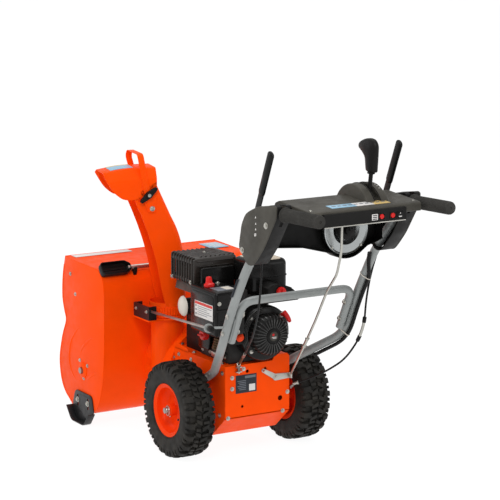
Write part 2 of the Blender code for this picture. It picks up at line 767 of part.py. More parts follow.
def muffler_guard():
    guard = open_box((-0.006, -0.163, 0.582), (0.170, -0.005, 0.675), 0.0025,
                     "Z", 0.012)
    for i in range(5):
        y = -0.1385 + 0.027 * i
        cut(guard, box((0.0215, y - 0.004, 0.6625), (0.1435, y + 0.004, 0.69)))
    finish(guard, "muffler_guard", material("guard_black", BLACK, 0.42))


def muffler():
    can = box((0.010, -0.148, 0.590), (0.155, -0.020, 0.655), 0.010)
    join(can, rod((0.050, -0.040, 0.5758), (0.050, -0.040, 0.600), 0.014))
    cut(can, box((0.014, -0.144, 0.594), (0.151, -0.024, 0.651), 0.008))
    cut(can, rod((0.050, -0.040, 0.57), (0.050, -0.040, 0.60), 0.011))
    finish(can, "muffler", material("muffler_steel", DARK, 0.5, 0.8))


def fuel_tank():
    tank = box((-0.125, 0.000, 0.5565), (0.020, 0.1295, 0.6725), 0.014)
    cut(tank, box((-0.121, 0.004, 0.5605), (0.016, 0.1255, 0.6685), 0.011))
    cut(tank, rod((-0.045, 0.070, 0.65), (-0.045, 0.070, 0.69), 0.0185))
    finish(tank, "fuel_tank", material("tank_black", BLACK, 0.38))
    cap = rod((-0.045, 0.070, 0.6728), (-0.045, 0.070, 0.694), 0.028, 20, 0.026)
    join(cap, rod((-0.045, 0.070, 0.662), (-0.045, 0.070, 0.675), 0.0178, 16))
    finish(cap, "fuel_cap", material("cap_beige", BEIGE, 0.5), (-0.045, 0.070, 0.68))


def oil_cap():
    cap = rod((0.1368, 0.030, 0.418), (0.157, 0.030, 0.418), 0.018, 20)
    join(cap, rod((0.120, 0.030, 0.418), (0.140, 0.030, 0.418), 0.0083, 16))
    join(cap, box((0.155, 0.016, 0.415), (0.166, 0.044, 0.421)))
    finish(cap, "oil_cap", material("oil_red", RED, 0.35), (0.147, 0.030, 0.418))


def carburettor_cover():
    cover = open_box((-0.135, 0.1303, 0.535), (-0.010, 0.185, 0.600), 0.0025,
                     "Y", 0.006)
    cut(cover, rod((-0.060, 0.17, 0.572), (-0.060, 0.20, 0.572), 0.0060))
    finish(cover, "carburettor_cover", material("carb_black", BLACK, 0.5))
    knob = rod((-0.060, 0.1855, 0.572), (-0.060, 0.197, 0.572), 0.017, 20)
    join(knob, rod((-0.060, 0.165, 0.572), (-0.060, 0.190, 0.572), 0.0050, 16))
    join(knob, box((-0.063, 0.195, 0.558), (-0.057, 0.206, 0.586)))
    finish(knob, "choke_knob", material("choke_red", RED, 0.35), (-0.060, 0.19, 0.572))


# ------------------------------------------------------------------ handles

def upright_path(side):
    x = side * HANDLE_X
    foot = side * 0.1425
    corners = [(foot, 0.045, 0.274), (foot, 0.090, 0.301), (x, 0.303, 0.433),
               (x, 0.374, 0.579), (x, 0.468, 0.733), (x, 0.545, 0.820),
               (x, 0.640, 0.925), (x, 0.675, 0.9364), (x, 0.888, 0.945)]
    return rounded(corners, 0.045, 1)


def uprights():
    grey = material("handle_grey", TUBE_GREY, 0.4, 0.3)
    right = hollow_tube(upright_path(-1), HANDLE_R, 0.0018)
    left = mirrored(right)
    ring_low = EYE - CRANK_LINE * 0.003
    ring_high = EYE + CRANK_LINE * 0.003
    across = Vector((HANDLE_X + 0.012, EYE.y + 0.010, EYE.z - 0.002))
    join(left, rod(across, EYE - Vector((0.009, 0, 0)), 0.0040, 12))
    join(left, rod(ring_low, ring_high, 0.0125, 20))
    cut(left, rod(EYE - CRANK_LINE * 0.02, EYE + CRANK_LINE * 0.02, 0.0062, 20))
    finish(left, "upright_left", grey)
    finish(right, "upright_right", grey)


def crossbar():
    x = 0.2105
    corners = [(x, 0.318, 0.460), (x, 0.392, 0.607), (-x, 0.392, 0.607),
               (-x, 0.318, 0.460)]
    bar = hollow_tube(rounded(corners, 0.035, 2), 0.0135, 0.0018)
    finish(bar, "crossbar", material("crossbar_grey", TUBE_GREY, 0.4, 0.3))


COVER_SIDE = [(0.537, 0.932), (0.585, 0.951), (0.680, 0.967), (0.691, 0.963),
              (0.689, 0.928), (0.615, 0.822), (0.573, 0.777), (0.549, 0.756),
              (0.518, 0.754), (0.469, 0.798), (0.466, 0.810), (0.482, 0.880),
              (0.506, 0.916)]


def side_covers():
    pan = prism(COVER_SIDE, "X", 0.214, 0.270)
    cut(pan, prism(offset_outline(COVER_SIDE, -0.0025), "X", 0.200, 0.2675))
    cut(pan, tube(upright_path(1), HANDLE_R + 0.0012))
    cut(pan, box((0.2345, 0.480, 0.895), (0.2455, 0.70, 0.99)))
    join(pan, rod((0.2300, LEVER_Y, LEVER_Z), (0.2680, LEVER_Y, LEVER_Z), 0.0040, 16))
    other = mirrored(pan)
    dark = material("side_cover_grey", DARK, 0.5)
    finish(pan, "side_cover_left", dark)
    finish(other, "side_cover_right", dark)


def clutch_levers():
    lean = math.atan2(0.090, 0.209)
    length = 0.2145
    half = 0.014
    top = [(y, z + length) for y, z in arc((0, 0), half, 0, 180, 9)]
    foot = [(y, z) for y, z in arc((0, 0), half, 180, 360, 9)]
    black = material("lever_black", BLACK, 0.4)
    for side, label in ((1, "left"), (-1, "right")):
        low = HANDLE_X - 0.002 if side > 0 else -HANDLE_X - 0.002
        blade = prism(top + foot, "X", low, low + 0.004)
        cut(blade, rod((-0.3, 0, 0), (0.3, 0, 0), 0.0046, 16))
        blade.data.transform(Matrix.Translation((0, LEVER_Y, LEVER_Z))
                             @ Matrix.Rotation(-lean, 4, 'X'))
        finish(blade, "clutch_lever_" + label, black,
               (side * HANDLE_X, LEVER_Y, LEVER_Z))


def grips():
    start = Vector((HANDLE_X, 0.695, 0.9372))
    end = Vector((HANDLE_X, 0.892, 0.9452))
    along = (end - start).normalized()
    left = rod(start, end, 0.0215, 24)
    cut(left, rod(start - along * 0.01, end - along * 0.0025, HANDLE_R + GAP, 24))
    right = mirrored(left)
    rubber = material("grip_rubber", RUBBER, 0.6)
    finish(left, "grip_left", rubber)
    finish(right, "grip_right", rubber)


# ------------------------------------------------------------------ console

def console_cover():
    side = [(0.575, 0.925), (0.785, 0.925), (0.785, 0.950), (0.778, 0.954),
            (0.600, 0.965), (0.575, 0.955)]
    shell = prism(side, "X", -0.205, 0.205)
    dome = rod((SPEED_X - 0.040, 0.675, 0.900), (SPEED_X + 0.040, 0.675, 0.900),
               0.105, 40)
    join(shell, dome)
    inside = [(0.5775, 0.90), (0.7825, 0.90), (0.7825, 0.949), (0.777, 0.9515),
              (0.6005, 0.9625), (0.5775, 0.9533)]
    cut(shell, prism(inside, "X", -0.2025, 0.2025))
    cut(shell, rod((SPEED_X - 0.0375, 0.675, 0.900),
                   (SPEED_X + 0.0375, 0.675, 0.900), 0.1025, 40))
    cut(shell, box((-0.30, 0.50, 0.70), (0.30, 0.90, 0.925)))
    cut(shell, box((SPEED_X - 0.010, SPEED_Y - 0.034, 0.970),
                   (SPEED_X + 0.010, SPEED_Y + 0.070, 1.02)))
    finish(shell, "console_cover", material("console_grey", DARK, 0.45))


def console_fascia():
    low = 0.7853
    plate = box((-0.140, low, 0.903), (0.165, 0.797, 0.945))
    for x, half in ((-0.048, 0.0085), (-0.089, 0.0085), (-0.115, 0.0085)):
        cut(plate, box((x - half - GAP * 2, 0.77, 0.9145 - GAP * 2),
                       (x + half + GAP * 2, 0.81, 0.9305 + GAP * 2)))
    finish(plate, "console_fascia", material("fascia_black", BLACK, 0.4))


def buttons():
    red = material("button_red", RED, 0.35)
    for x, label in ((-0.048, "button_left"), (-0.089, "button_right")):
        cap = box((x - 0.0085, 0.7882, 0.9145), (x + 0.0085, 0.8000, 0.9305), 0.0015)
        finish(cap, label, red, (x, 0.797, 0.9225))
    x = -0.115
    rocker = prism([(0.7890, 0.9165), (0.7970, 0.9150), (0.8005, 0.9160),
                    (0.7985, 0.9225), (0.8005, 0.9290), (0.7970, 0.9300),
                    (0.7890, 0.9285)], "X", x - 0.0085, x + 0.0085)
    finish(rocker, "rocker_switch", material("rocker_black", BLACK, 0.35),
           (x, 0.7930, 0.9225))


LAMP = (-0.070, 0.844)


def cowl():
    lobe = arc(LAMP, 0.094, 180 + 50, 360 - 50, 9)
    outline = ([(-0.205, 0.920), (-0.205, 0.802), (-0.148, 0.784)] + lobe
               + [(0.022, 0.780), (0.097, 0.800), (0.205, 0.810), (0.205, 0.920)])
    pan = prism(outline, "Y", 0.530, 0.575)
    cut(pan, prism(offset_outline(outline, -0.0025), "Y", 0.5325, 0.60))
    cut(pan, rod((LAMP[0], 0.50, LAMP[1]), (LAMP[0], 0.55, LAMP[1]), 0.0500, 24))
    cut(pan, rod((LAMP[0], 0.54, LAMP[1]), (LAMP[0], 0.60, LAMP[1]), 0.0860, 32))
    finish(pan, "cowl", material("cowl_black", BLACK, 0.45))


def headlight():
    place = facing("Y", (LAMP[0], 0, LAMP[1]))
    bowl = [(0.0, 0.5330), (0.0485, 0.5330), (0.083, 0.556), (0.083, 0.567),
            (0.048, 0.567), (0.036, 0.552), (0.0, 0.552)]
    finish(turned(bowl, place), "headlight",
           material("lamp_silver", STEEL, 0.25, 0.9))


def speed_lever():
    hub = rod((-0.087, SPEED_Y, SPEED_Z), (-0.0280, SPEED_Y, SPEED_Z), 0.0095, 20)
    arm = box((-0.0320, SPEED_Y - ARM - 0.008, SPEED_Z - 0.008),
              (-0.0280, SPEED_Y + 0.006, SPEED_Z + 0.008))
    join(hub, arm)
    join(hub, tube([(SPEED_X, SPEED_Y, SPEED_Z), (SPEED_X, SPEED_Y + 0.026, 1.060)],
                   0.0075))
    knob = [(0.672, 1.050), (0.722, 1.053), (0.728, 1.095), (0.731, 1.122),
            (0.712, 1.139), (0.662, 1.147), (0.633, 1.139), (0.628, 1.128),
            (0.645, 1.105), (0.664, 1.085)]
    join(hub, prism(knob, "X", SPEED_X - 0.019, SPEED_X + 0.019))
    finish(hub, "speed_lever", material("speed_black", BLACK, 0.35),
           (SPEED_X, SPEED_Y, SPEED_Z))


def shift_rod():
    corners = [(-0.0225, 0.614, 0.895), (-0.0225, 0.612, 0.845), (-0.032, 0.596, 0.779),
               (-0.036, 0.565, 0.700), (-0.060, 0.471, 0.626), (-0.080, 0.369, 0.502),
               (-0.110, 0.212, 0.332), (-0.127, 0.1475, 0.272), (-0.127, 0.1475, 0.258)]
    rod_piece = tube(rounded(corners, 0.02, 1), 0.0042, 1)
    finish(rod_piece, "shift_rod", material("shift_steel", STEEL, 0.3, 1.0),
           (-0.127, 0.1475, 0.266))


def shift_arm():
    outline = (arc((-0.071, 0.266), 0.012, -90, 90, 7)
               + arc((-0.127, 0.266), 0.009, 90, 270, 7))
    arm = prism(outline, "Y", 0.1372, 0.1402)
    finish(arm, "shift_arm", material("arm_steel", STEEL, 0.35, 1.0),
           (-0.071, 0.1387, 0.266))


def cables():
    black = material("cable_black", BLACK, 0.5)
    drive = [(0.205, 0.500, 0.790), (0.207, 0.500, 0.700), (0.203, 0.480, 0.600),
             (0.180, 0.410, 0.500), (0.140, 0.300, 0.420), (0.100, 0.190, 0.350),
             (0.085, 0.150, 0.328)]
    finish(tube(rounded(drive, 0.05, 1), 0.0035, 1), "drive_cable", black)
    auger = [(-0.262, 0.480, 0.773), (-0.259, 0.430, 0.660), (-0.260, 0.402, 0.566),
             (-0.260, 0.392, 0.479), (-0.256, 0.365, 0.420), (-0.232, 0.320, 0.345),
             (-0.200, 0.242, 0.288), (-0.165, 0.175, 0.250), (-0.140, 0.145, 0.235)]
    finish(tube(rounded(auger, 0.05, 1), 0.0035, 1), "auger_cable", black)


def cleanout_tool():
    """Shovel with a round handle, leaning on the housing's top rear corner."""
    axis = Vector((0.0, -0.403, 0.581))
    blade = [(0.197, -0.012), (0.217, -0.026), (0.307, -0.026), (0.314, -0.016),
             (0.314, 0.014), (0.307, 0.023), (0.217, 0.023), (0.197, 0.012)]
    tool = rod((-0.060, 0, 0), (0.207, 0, 0), 0.0085, 16)
    head = prism(blade, "Z", -0.0100, 0.0115)
    cut(head, prism(offset_outline(blade, -0.0028), "Z", -0.0070, 0.03))
    join(tool, head)
    tool.data.transform(Matrix.Translation(axis)
                        @ Matrix.Rotation(math.radians(-50.0), 4, 'X'))
    finish(tool, "cleanout_tool", material("tool_black", BLACK, 0.5),
           (0.10, axis.y, axis.z))


auger_housing()
impeller_housing()
scraper_bar()
skid_shoes()
augers()
auger_gearbox()
impeller()
chute()
deflector()
wing_knob()
chute_drive_bracket()
chute_crank()
frame_case()
rear_panel()
bottom_cover()
belt_cover()
wheels()
wheel_axle()
engine_block()
crankshaft()
blower_housing()
recoil_cover()
recoil_handle()
cylinder_shroud()
muffler_guard()
muffler()
fuel_tank()
oil_cap()
carburettor_cover()
uprights()
crossbar()
side_covers()
clutch_levers()
grips()
console_cover()
console_fascia()
buttons()
cowl()
headlight()
speed_lever()
shift_rod()
shift_arm()
cables()
cleanout_tool()
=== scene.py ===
"""Detailed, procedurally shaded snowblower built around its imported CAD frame.

Metres, with X to the machine's left, Y to its rear and Z up. Each piece rides on
the CAD body that it belongs to, so that it moves with that body's joint.
"""
import json
import math

import bmesh
import bpy
from mathutils import Matrix, Vector

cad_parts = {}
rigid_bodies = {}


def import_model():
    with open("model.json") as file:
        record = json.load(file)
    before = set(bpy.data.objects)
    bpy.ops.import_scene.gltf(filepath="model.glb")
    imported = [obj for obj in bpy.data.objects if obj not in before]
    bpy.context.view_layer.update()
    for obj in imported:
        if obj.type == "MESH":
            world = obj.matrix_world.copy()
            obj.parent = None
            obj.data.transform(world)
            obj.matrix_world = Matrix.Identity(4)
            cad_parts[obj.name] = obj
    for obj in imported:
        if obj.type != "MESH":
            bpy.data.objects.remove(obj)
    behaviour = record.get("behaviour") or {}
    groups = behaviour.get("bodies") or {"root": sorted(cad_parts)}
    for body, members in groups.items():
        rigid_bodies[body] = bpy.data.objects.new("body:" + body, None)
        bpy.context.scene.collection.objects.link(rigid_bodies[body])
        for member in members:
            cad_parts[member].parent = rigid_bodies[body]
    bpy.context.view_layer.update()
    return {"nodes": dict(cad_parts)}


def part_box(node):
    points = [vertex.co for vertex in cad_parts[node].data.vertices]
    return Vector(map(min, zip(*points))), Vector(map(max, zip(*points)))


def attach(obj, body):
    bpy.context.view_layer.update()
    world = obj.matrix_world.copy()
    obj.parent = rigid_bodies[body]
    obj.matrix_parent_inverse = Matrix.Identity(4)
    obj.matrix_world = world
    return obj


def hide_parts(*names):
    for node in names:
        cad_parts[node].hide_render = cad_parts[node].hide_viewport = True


for old in list(bpy.data.objects):
    bpy.data.objects.remove(old)
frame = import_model()
NODES = frame["nodes"]

# All shapes below are laid out about the ground point under the middle of the
# wheel axle, as the machine itself is, and then moved to where the frame has it.
_low, _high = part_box("wheel_axle")
OFFSET = Vector(((_low[0] + _high[0]) / 2, (_low[1] + _high[1]) / 2, 0.0))

# ------------------------------------------------------------------ materials


class Paint:
    """A Principled material with fine bump and a slight mottling of its colour."""

    def __init__(self, name, colour, rough, metal=0.0, coat=0.0, grain=400.0, bump=0.02,
                 mottle=0.06, spread=0.08, shine=0.5):
        mat = bpy.data.materials.new(name)
        mat.use_nodes = True
        mat.diffuse_color = (*colour, 1)
        self.mat = mat
        self.tree = mat.node_tree
        self.bsdf = self.tree.nodes["Principled BSDF"]
        self.bsdf.inputs["Metallic"].default_value = metal
        self.bsdf.inputs["Coat Weight"].default_value = coat
        self.bsdf.inputs["Coat Roughness"].default_value = 0.12
        self.bsdf.inputs["Specular IOR Level"].default_value = shine
        coords = self.tree.nodes.new("ShaderNodeTexCoord")
        self.coords = coords.outputs["Object"]
        wide = self.noise(14.0, 3.0)
        self.colour = self.ramp(wide, [c * (1 - mottle) for c in colour],
                                [min(1.0, c * (1 + mottle)) for c in colour])
        self.join(self.colour, self.bsdf.inputs["Base Color"])
        fine = self.noise(grain, 2.0)
        self.join(self.span(self.noise(40.0, 4.0), rough - spread, rough + spread),
                  self.bsdf.inputs["Roughness"])
        self.height = fine
        self.bump = self.tree.nodes.new("ShaderNodeBump")
        self.bump.inputs["Strength"].default_value = bump * 10
        self.bump.inputs["Distance"].default_value = 0.0004
        self.join(fine, self.bump.inputs["Height"])
        self.join(self.bump.outputs["Normal"], self.bsdf.inputs["Normal"])

    def join(self, a, b):
        self.tree.links.new(a, b)

    def noise(self, scale, detail, source=None):
        node = self.tree.nodes.new("ShaderNodeTexNoise")
        node.inputs["Scale"].default_value = scale
        node.inputs["Detail"].default_value = detail
        self.join(source or self.coords, node.inputs["Vector"])
        return node.outputs["Fac"]

    def ramp(self, value, low, high, a=0.35, b=0.65):
        node = self.tree.nodes.new("ShaderNodeValToRGB")
        node.color_ramp.elements[0].position = a
        node.color_ramp.elements[1].position = b
        node.color_ramp.elements[0].color = (*low, 1)
        node.color_ramp.elements[1].color = (*high, 1)
        self.join(value, node.inputs["Fac"])
        return node.outputs["Color"]

    def span(self, value, low, high):
        node = self.tree.nodes.new("ShaderNodeMapRange")
        node.inputs["From Min"].default_value = 0.35
        node.inputs["From Max"].default_value = 0.65
        node.inputs["To Min"].default_value = low
        node.inputs["To Max"].default_value = high
        self.join(value, node.inputs["Value"])
        return node.outputs["Result"]

    def blend(self, value, colour):
        """Lay a second colour over the base where value is high."""
        mix = self.tree.nodes.new("ShaderNodeMix")
        mix.data_type = 'RGBA'
        mix.inputs["B"].default_value = (*colour, 1)
        self.join(value, mix.inputs["Factor"])
        self.join(self.colour, mix.inputs["A"])
        self.colour = mix.outputs["Result"]
        self.join(self.colour, self.bsdf.inputs["Base Color"])
        return self


def painted(name, colour, rough=0.36, coat=0.02):
    """Powder coat: orange peel, soft mottling and a few faint dusty patches."""
    p = Paint(name, colour, rough, coat=coat, grain=240.0, bump=0.012, mottle=0.03, shine=0.035)
    dust = p.span(p.noise(6.0, 5.0), -0.05, 0.022)
    return p.blend(dust, (0.60, 0.36, 0.20)).mat


def plastic(name, colour, rough=0.44, **more):
    """Moulded plastic with a fine spark-eroded grain."""
    settings = {"grain": 700.0, "bump": 0.05, "mottle": 0.15, "shine": 0.16, **more}
    return Paint(name, colour, rough, **settings).mat


def printed(name, colour, rough=0.36, mottle=0.05):
    """Smooth printed film."""
    return Paint(name, colour, rough, grain=300.0, bump=0.004, mottle=mottle, shine=0.3).mat


def tyre_rubber():
    p = Paint("tyre_rubber", (0.0105, 0.0094, 0.0080), 0.70, grain=320.0, bump=0.10, mottle=0.25,
              shine=0.25)
    dust = p.span(p.noise(22.0, 6.0), -0.05, 0.28)
    return p.blend(dust, (0.048, 0.040, 0.030)).mat


ORANGE = painted("orange_powder_coat", (0.92, 0.069, 0.0015))
CHUTE_ORANGE = painted("chute_powder_coat", (0.94, 0.069, 0.0015))
RIM_ORANGE = painted("rim_powder_coat", (0.82, 0.046, 0.003), 0.32)
GREY_PAINT = Paint("grey_powder_coat", (0.27, 0.285, 0.28), 0.46, metal=0.25, grain=500.0,
                   bump=0.02, mottle=0.05, shine=0.35).mat
BLACK_PAINT = Paint("black_powder_coat", (0.010, 0.010, 0.011), 0.40, coat=0.1, grain=300.0,
                    bump=0.02, shine=0.3).mat
BLACK_PLASTIC = plastic("black_plastic", (0.0062, 0.0058, 0.0055))
GLOSS_BLACK = plastic("gloss_black_plastic", (0.0045, 0.0042, 0.0040), 0.24, coat=0.07, grain=500.0,
                      bump=0.01, mottle=0.1)
GREY_PLASTIC = plastic("grey_plastic", (0.057, 0.053, 0.044), 0.48, grain=900.0)
DARK_CAST = Paint("painted_casting", (0.018, 0.017, 0.016), 0.5, metal=0.3, grain=220.0, bump=0.10,
                  mottle=0.2, shine=0.3).mat
ALLOY = Paint("cast_alloy", (0.30, 0.29, 0.27), 0.46, metal=0.85, grain=260.0, bump=0.09,
              mottle=0.15).mat
ZINC = Paint("zinc_plate", (0.46, 0.45, 0.41), 0.34, metal=1.0, grain=300.0, bump=0.02,
             mottle=0.12).mat
STEEL = Paint("bare_steel", (0.34, 0.32, 0.30), 0.36, metal=1.0, grain=180.0, bump=0.03,
              mottle=0.18).mat
HOT_STEEL = Paint("heat_darkened_steel", (0.10, 0.085, 0.075), 0.5, metal=0.8, grain=120.0,
                  bump=0.05, mottle=0.3).mat
CHROME = Paint("metallised_reflector", (0.38, 0.40, 0.40), 0.30, metal=1.0, grain=200.0, bump=0.008,
               mottle=0.06, spread=0.06).mat
RED = plastic("red_plastic", (0.56, 0.012, 0.010), 0.32, coat=0.2, grain=500.0, bump=0.01,
              mottle=0.05)
RED_ORANGE = plastic("primer_rubber", (0.72, 0.05, 0.008), 0.4, grain=500.0, bump=0.02)
BRONZE = Paint("bronze_cast", (0.15, 0.085, 0.045), 0.45, metal=0.7, grain=240.0, bump=0.06,
               mottle=0.25).mat
BEIGE = plastic("beige_plastic", (0.52, 0.45, 0.36), 0.48, bump=0.03, mottle=0.06)
WHITE = plastic("white_plastic", (0.62, 0.57, 0.50), 0.36, grain=500.0, bump=0.02, mottle=0.04)
LABEL_WHITE = printed("label_white", (0.66, 0.64, 0.62), 0.40, 0.03)
LABEL_GREY = printed("label_grey", (0.13, 0.14, 0.16), 0.40)
LABEL_DARK = printed("label_dark", (0.012, 0.015, 0.022))
LABEL_BLUE = printed("label_blue", (0.26, 0.44, 0.58), mottle=0.08)
LABEL_YELLOW = printed("label_yellow", (0.62, 0.44, 0.16), mottle=0.08)
LABEL_RED = printed("label_red", (0.56, 0.03, 0.02), 0.38)
TAN = Paint("tan_sleeve", (0.30, 0.20, 0.10), 0.6, grain=600.0, bump=0.1).mat
CABLE = Paint("cable_jacket", (0.0055, 0.0055, 0.0055), 0.42, grain=700.0, bump=0.03, shine=0.2).mat
GRIP = Paint("grip_rubber", (0.026, 0.0245, 0.0215), 0.64, grain=1100.0, bump=0.12, mottle=0.2,
             shine=0.25).mat
LENS = Paint("lamp_lens", (0.45, 0.47, 0.48), 0.10, coat=0.6, grain=90.0, bump=0.02, mottle=0.02,
             spread=0.02).mat
# A lighter black than the recoil cover's own black plastic: painted highlight on the fins and the
# guard rails. Their sheen comes from the higher shine.
PAINTED_HIGHLIGHT_BLACK = Paint("satin_black_painted_highlight", (0.020, 0.019, 0.018), 0.26, grain=300.0, bump=0.01,
                  shine=0.6).mat
GUARD_BLACK = Paint("heat_proof_black", (0.017, 0.013, 0.0105), 0.34, grain=300.0, bump=0.02,
                    mottle=0.2, shine=0.45).mat
LEVER_BLACK = Paint("lever_black_coat", (0.0035, 0.0035, 0.0035), 0.42, grain=300.0, bump=0.01,
                    shine=0.2).mat
TYRE = tyre_rubber()

# The material slot of the part that each look stands in for.
SLOTS = {"orange_paint": (ORANGE,), "chute_orange": (CHUTE_ORANGE,), "rim_paint": (RIM_ORANGE,),
         "handle_grey": (GREY_PAINT,), "black_paint": (GUARD_BLACK,), "lever_black": (LEVER_BLACK,),
         "black_plastic": (BLACK_PLASTIC, GLOSS_BLACK, PAINTED_HIGHLIGHT_BLACK, LABEL_DARK),
         "grey_plastic": (GREY_PLASTIC, LABEL_GREY, LABEL_BLUE),
         "beige_plastic": (BEIGE, WHITE, LABEL_WHITE, LABEL_YELLOW),
         "red_plastic": (RED, RED_ORANGE, LABEL_RED),
         "engine_alloy": (ALLOY, DARK_CAST, BRONZE, HOT_STEEL), "zinc_steel": (ZINC, STEEL),
         "lamp_reflector": (CHROME, LENS), "cable_jacket": (CABLE, TAN), "grip_rubber": (GRIP,),
         "tyre_rubber": (TYRE,),}
SLOT_OF = {mat.name: slot for slot, mats in SLOTS.items() for mat in mats}

# -------------------------------------------------------------------- shapes


def as_mesh(bm, name="shape"):
    mesh = bpy.data.meshes.new(name)
    bm.to_mesh(mesh)
    bm.free()
    return mesh


def linked(name, data):
    obj = bpy.data.objects.new(name, data)
    bpy.context.scene.collection.objects.link(obj)
    return obj


def applied(obj):
    """The mesh that an object's modifiers make; the object itself goes."""
    bpy.context.view_layer.update()
    graph = bpy.context.evaluated_depsgraph_get()
    mesh = bpy.data.meshes.new_from_object(obj.evaluated_get(graph))
    bpy.data.objects.remove(obj)
    return mesh


def pointing(direction):
    """A turn that takes local Z to a direction."""
    return direction.to_track_quat('Z', 'Y').to_matrix().to_4x4()


def soften(bm, width, steps=2, angle=35.0):
    """Round every edge whose faces meet at more than an angle."""
    limit = math.radians(angle)
    edges = [e for e in bm.edges if len(e.link_faces) == 2 and e.calc_face_angle(0.0) > limit]
    if width and edges:
        bmesh.ops.bevel(bm, geom=edges, offset=width, segments=steps, profile=0.5, affect='EDGES',
                        clamp_overlap=True)


def block(low, high, edge=0.0015, steps=2):
    bm = bmesh.new()
    bmesh.ops.create_cube(bm, size=1.0)
    low, high = Vector(low), Vector(high)
    bmesh.ops.scale(bm, vec=high - low, verts=bm.verts)
    bmesh.ops.translate(bm, vec=(high + low) / 2, verts=bm.verts)
    soften(bm, edge, steps)
    return as_mesh(bm)


def pin(start, end, radius, sides=32, tip=None, edge=0.0):
    start, end = Vector(start), Vector(end)
    turn = pointing(end - start)
    bm = bmesh.new()
    bmesh.ops.create_cone(bm, cap_ends=True, segments=sides, radius1=radius,
                          radius2=radius if tip is None else tip, depth=(end - start).length,
                          matrix=Matrix.Translation((start + end) / 2) @ turn)
    soften(bm, edge, 2, 50.0)
    return as_mesh(bm)


TO_AXIS = {"X": Matrix(((0, 0, 1, 0), (1, 0, 0, 0), (0, 1, 0, 0), (0, 0, 0, 1))),
           "Y": Matrix(((1, 0, 0, 0), (0, 0, -1, 0), (0, 1, 0, 0), (0, 0, 0, 1))),
           "Z": Matrix.Identity(4),}


def slab(outline, axis, low, high, edge=0.001, steps=2, angle=35.0):
    """A flat outline with thickness from low to high along an axis."""
    bm = bmesh.new()
    ends = (-high, -low) if axis == "Y" else (low, high)
    verts = [bm.verts.new((a, b, ends[0])) for a, b in outline]
    face = bm.faces.new(verts)
    grown = bmesh.ops.extrude_face_region(bm, geom=[face])
    top = [v for v in grown["geom"] if isinstance(v, bmesh.types.BMVert)]
    bmesh.ops.translate(bm, vec=(0, 0, ends[1] - ends[0]), verts=top)
    bmesh.ops.recalc_face_normals(bm, faces=bm.faces)
    soften(bm, edge, steps, angle)
    bmesh.ops.transform(bm, matrix=TO_AXIS[axis], verts=bm.verts)
    return as_mesh(bm)


def facing(axis, at=(0, 0, 0)):
    turns = {"X": Matrix.Rotation(math.pi / 2, 4, 'Y'), "-X": Matrix.Rotation(-math.pi / 2, 4, 'Y'),
             "Y": Matrix.Rotation(-math.pi / 2, 4, 'X'), "Z": Matrix.Identity(4)}
    return Matrix.Translation(at) @ turns[axis]


def lathe(profile, place, steps=64, closed=True):
    """A (radius, height) profile turned about local Z."""
    bm = bmesh.new()
    rows = []
    for i in range(steps):
        a = 2 * math.pi * i / steps
        rows.append([bm.verts.new((r * math.cos(a), r * math.sin(a), h)) for r, h in profile])
    count = len(profile)
    for i in range(steps):
        a, b = rows[i], rows[(i + 1) % steps]
        for j in range(count if closed else count - 1):
            k = (j + 1) % count
            if profile[j][0] > 1e-7 or profile[k][0] > 1e-7:
                bm.faces.new((a[j], b[j], b[k], a[k]))
    bmesh.ops.remove_doubles(bm, verts=bm.verts, dist=1e-7)
    bmesh.ops.recalc_face_normals(bm, faces=bm.faces)
    bmesh.ops.transform(bm, matrix=place, verts=bm.verts)
    return as_mesh(bm)


def spline(points, per=6):
    """Catmull-Rom curve through points of any dimension."""
    pts = [Vector(p) for p in points]
    pts = [pts[0] * 2 - pts[1]] + pts + [pts[-1] * 2 - pts[-2]]
    out = []
    for i in range(1, len(pts) - 2):
        a, b, c, d = pts[i - 1:i + 3]
        for j in range(per):
            t = j / per
            out.append(((b * 2) + (c - a) * t + (a * 2 - b * 5 + c * 4 - d) * t * t
                        + (b * 3 - a - c * 3 + d) * t ** 3) / 2)
    out.append(pts[-2])
    return out


def bent(points, radius, steps=6):
    """Straight runs joined by arcs, as a tube bender makes them."""
    pts = [Vector(p) for p in points]
    path = [pts[0]]
    for before, corner, after in zip(pts, pts[1:], pts[2:]):
        a = before - corner
        b = after - corner
        reach = min(radius, a.length * 0.48, b.length * 0.48)
        first = corner + a.normalized() * reach
        last = corner + b.normalized() * reach
        for i in range(steps + 1):
            t = i / steps
            path.append(first.lerp(corner, t).lerp(corner.lerp(last, t), t))
    path.append(pts[-1])
    return path


def sweep(path, section, caps=True):
    """Carry a closed 2-D section along a path without twist."""
    path = [Vector(p) for p in path]
    bm = bmesh.new()
    rings = []
    side = None
    for i, p in enumerate(path):
        ahead = path[min(i + 1, len(path) - 1)] - path[max(i - 1, 0)]
        ahead.normalize()
        if side is None:
            helper = Vector((1, 0, 0)) if abs(ahead.x) < 0.8 else Vector((0, 0, 1))
            side = helper.cross(ahead).normalized()
        side = (side - ahead * side.dot(ahead)).normalized()
        other = ahead.cross(side)
        shape = section(i / (len(path) - 1)) if callable(section) else section
        rings.append([bm.verts.new(p + side * u + other * v) for u, v in shape])
    count = len(rings[0])
    for a, b in zip(rings, rings[1:]):
        for j in range(count):
            k = (j + 1) % count
            bm.faces.new((a[j], a[k], b[k], b[j]))
    if caps:
        bm.faces.new(list(reversed(rings[0])))
        bm.faces.new(rings[-1])
    bmesh.ops.recalc_face_normals(bm, faces=bm.faces)
    return as_mesh(bm)


def pipe(path, radius, sides=16):
    return sweep(path, circle(radius, sides))


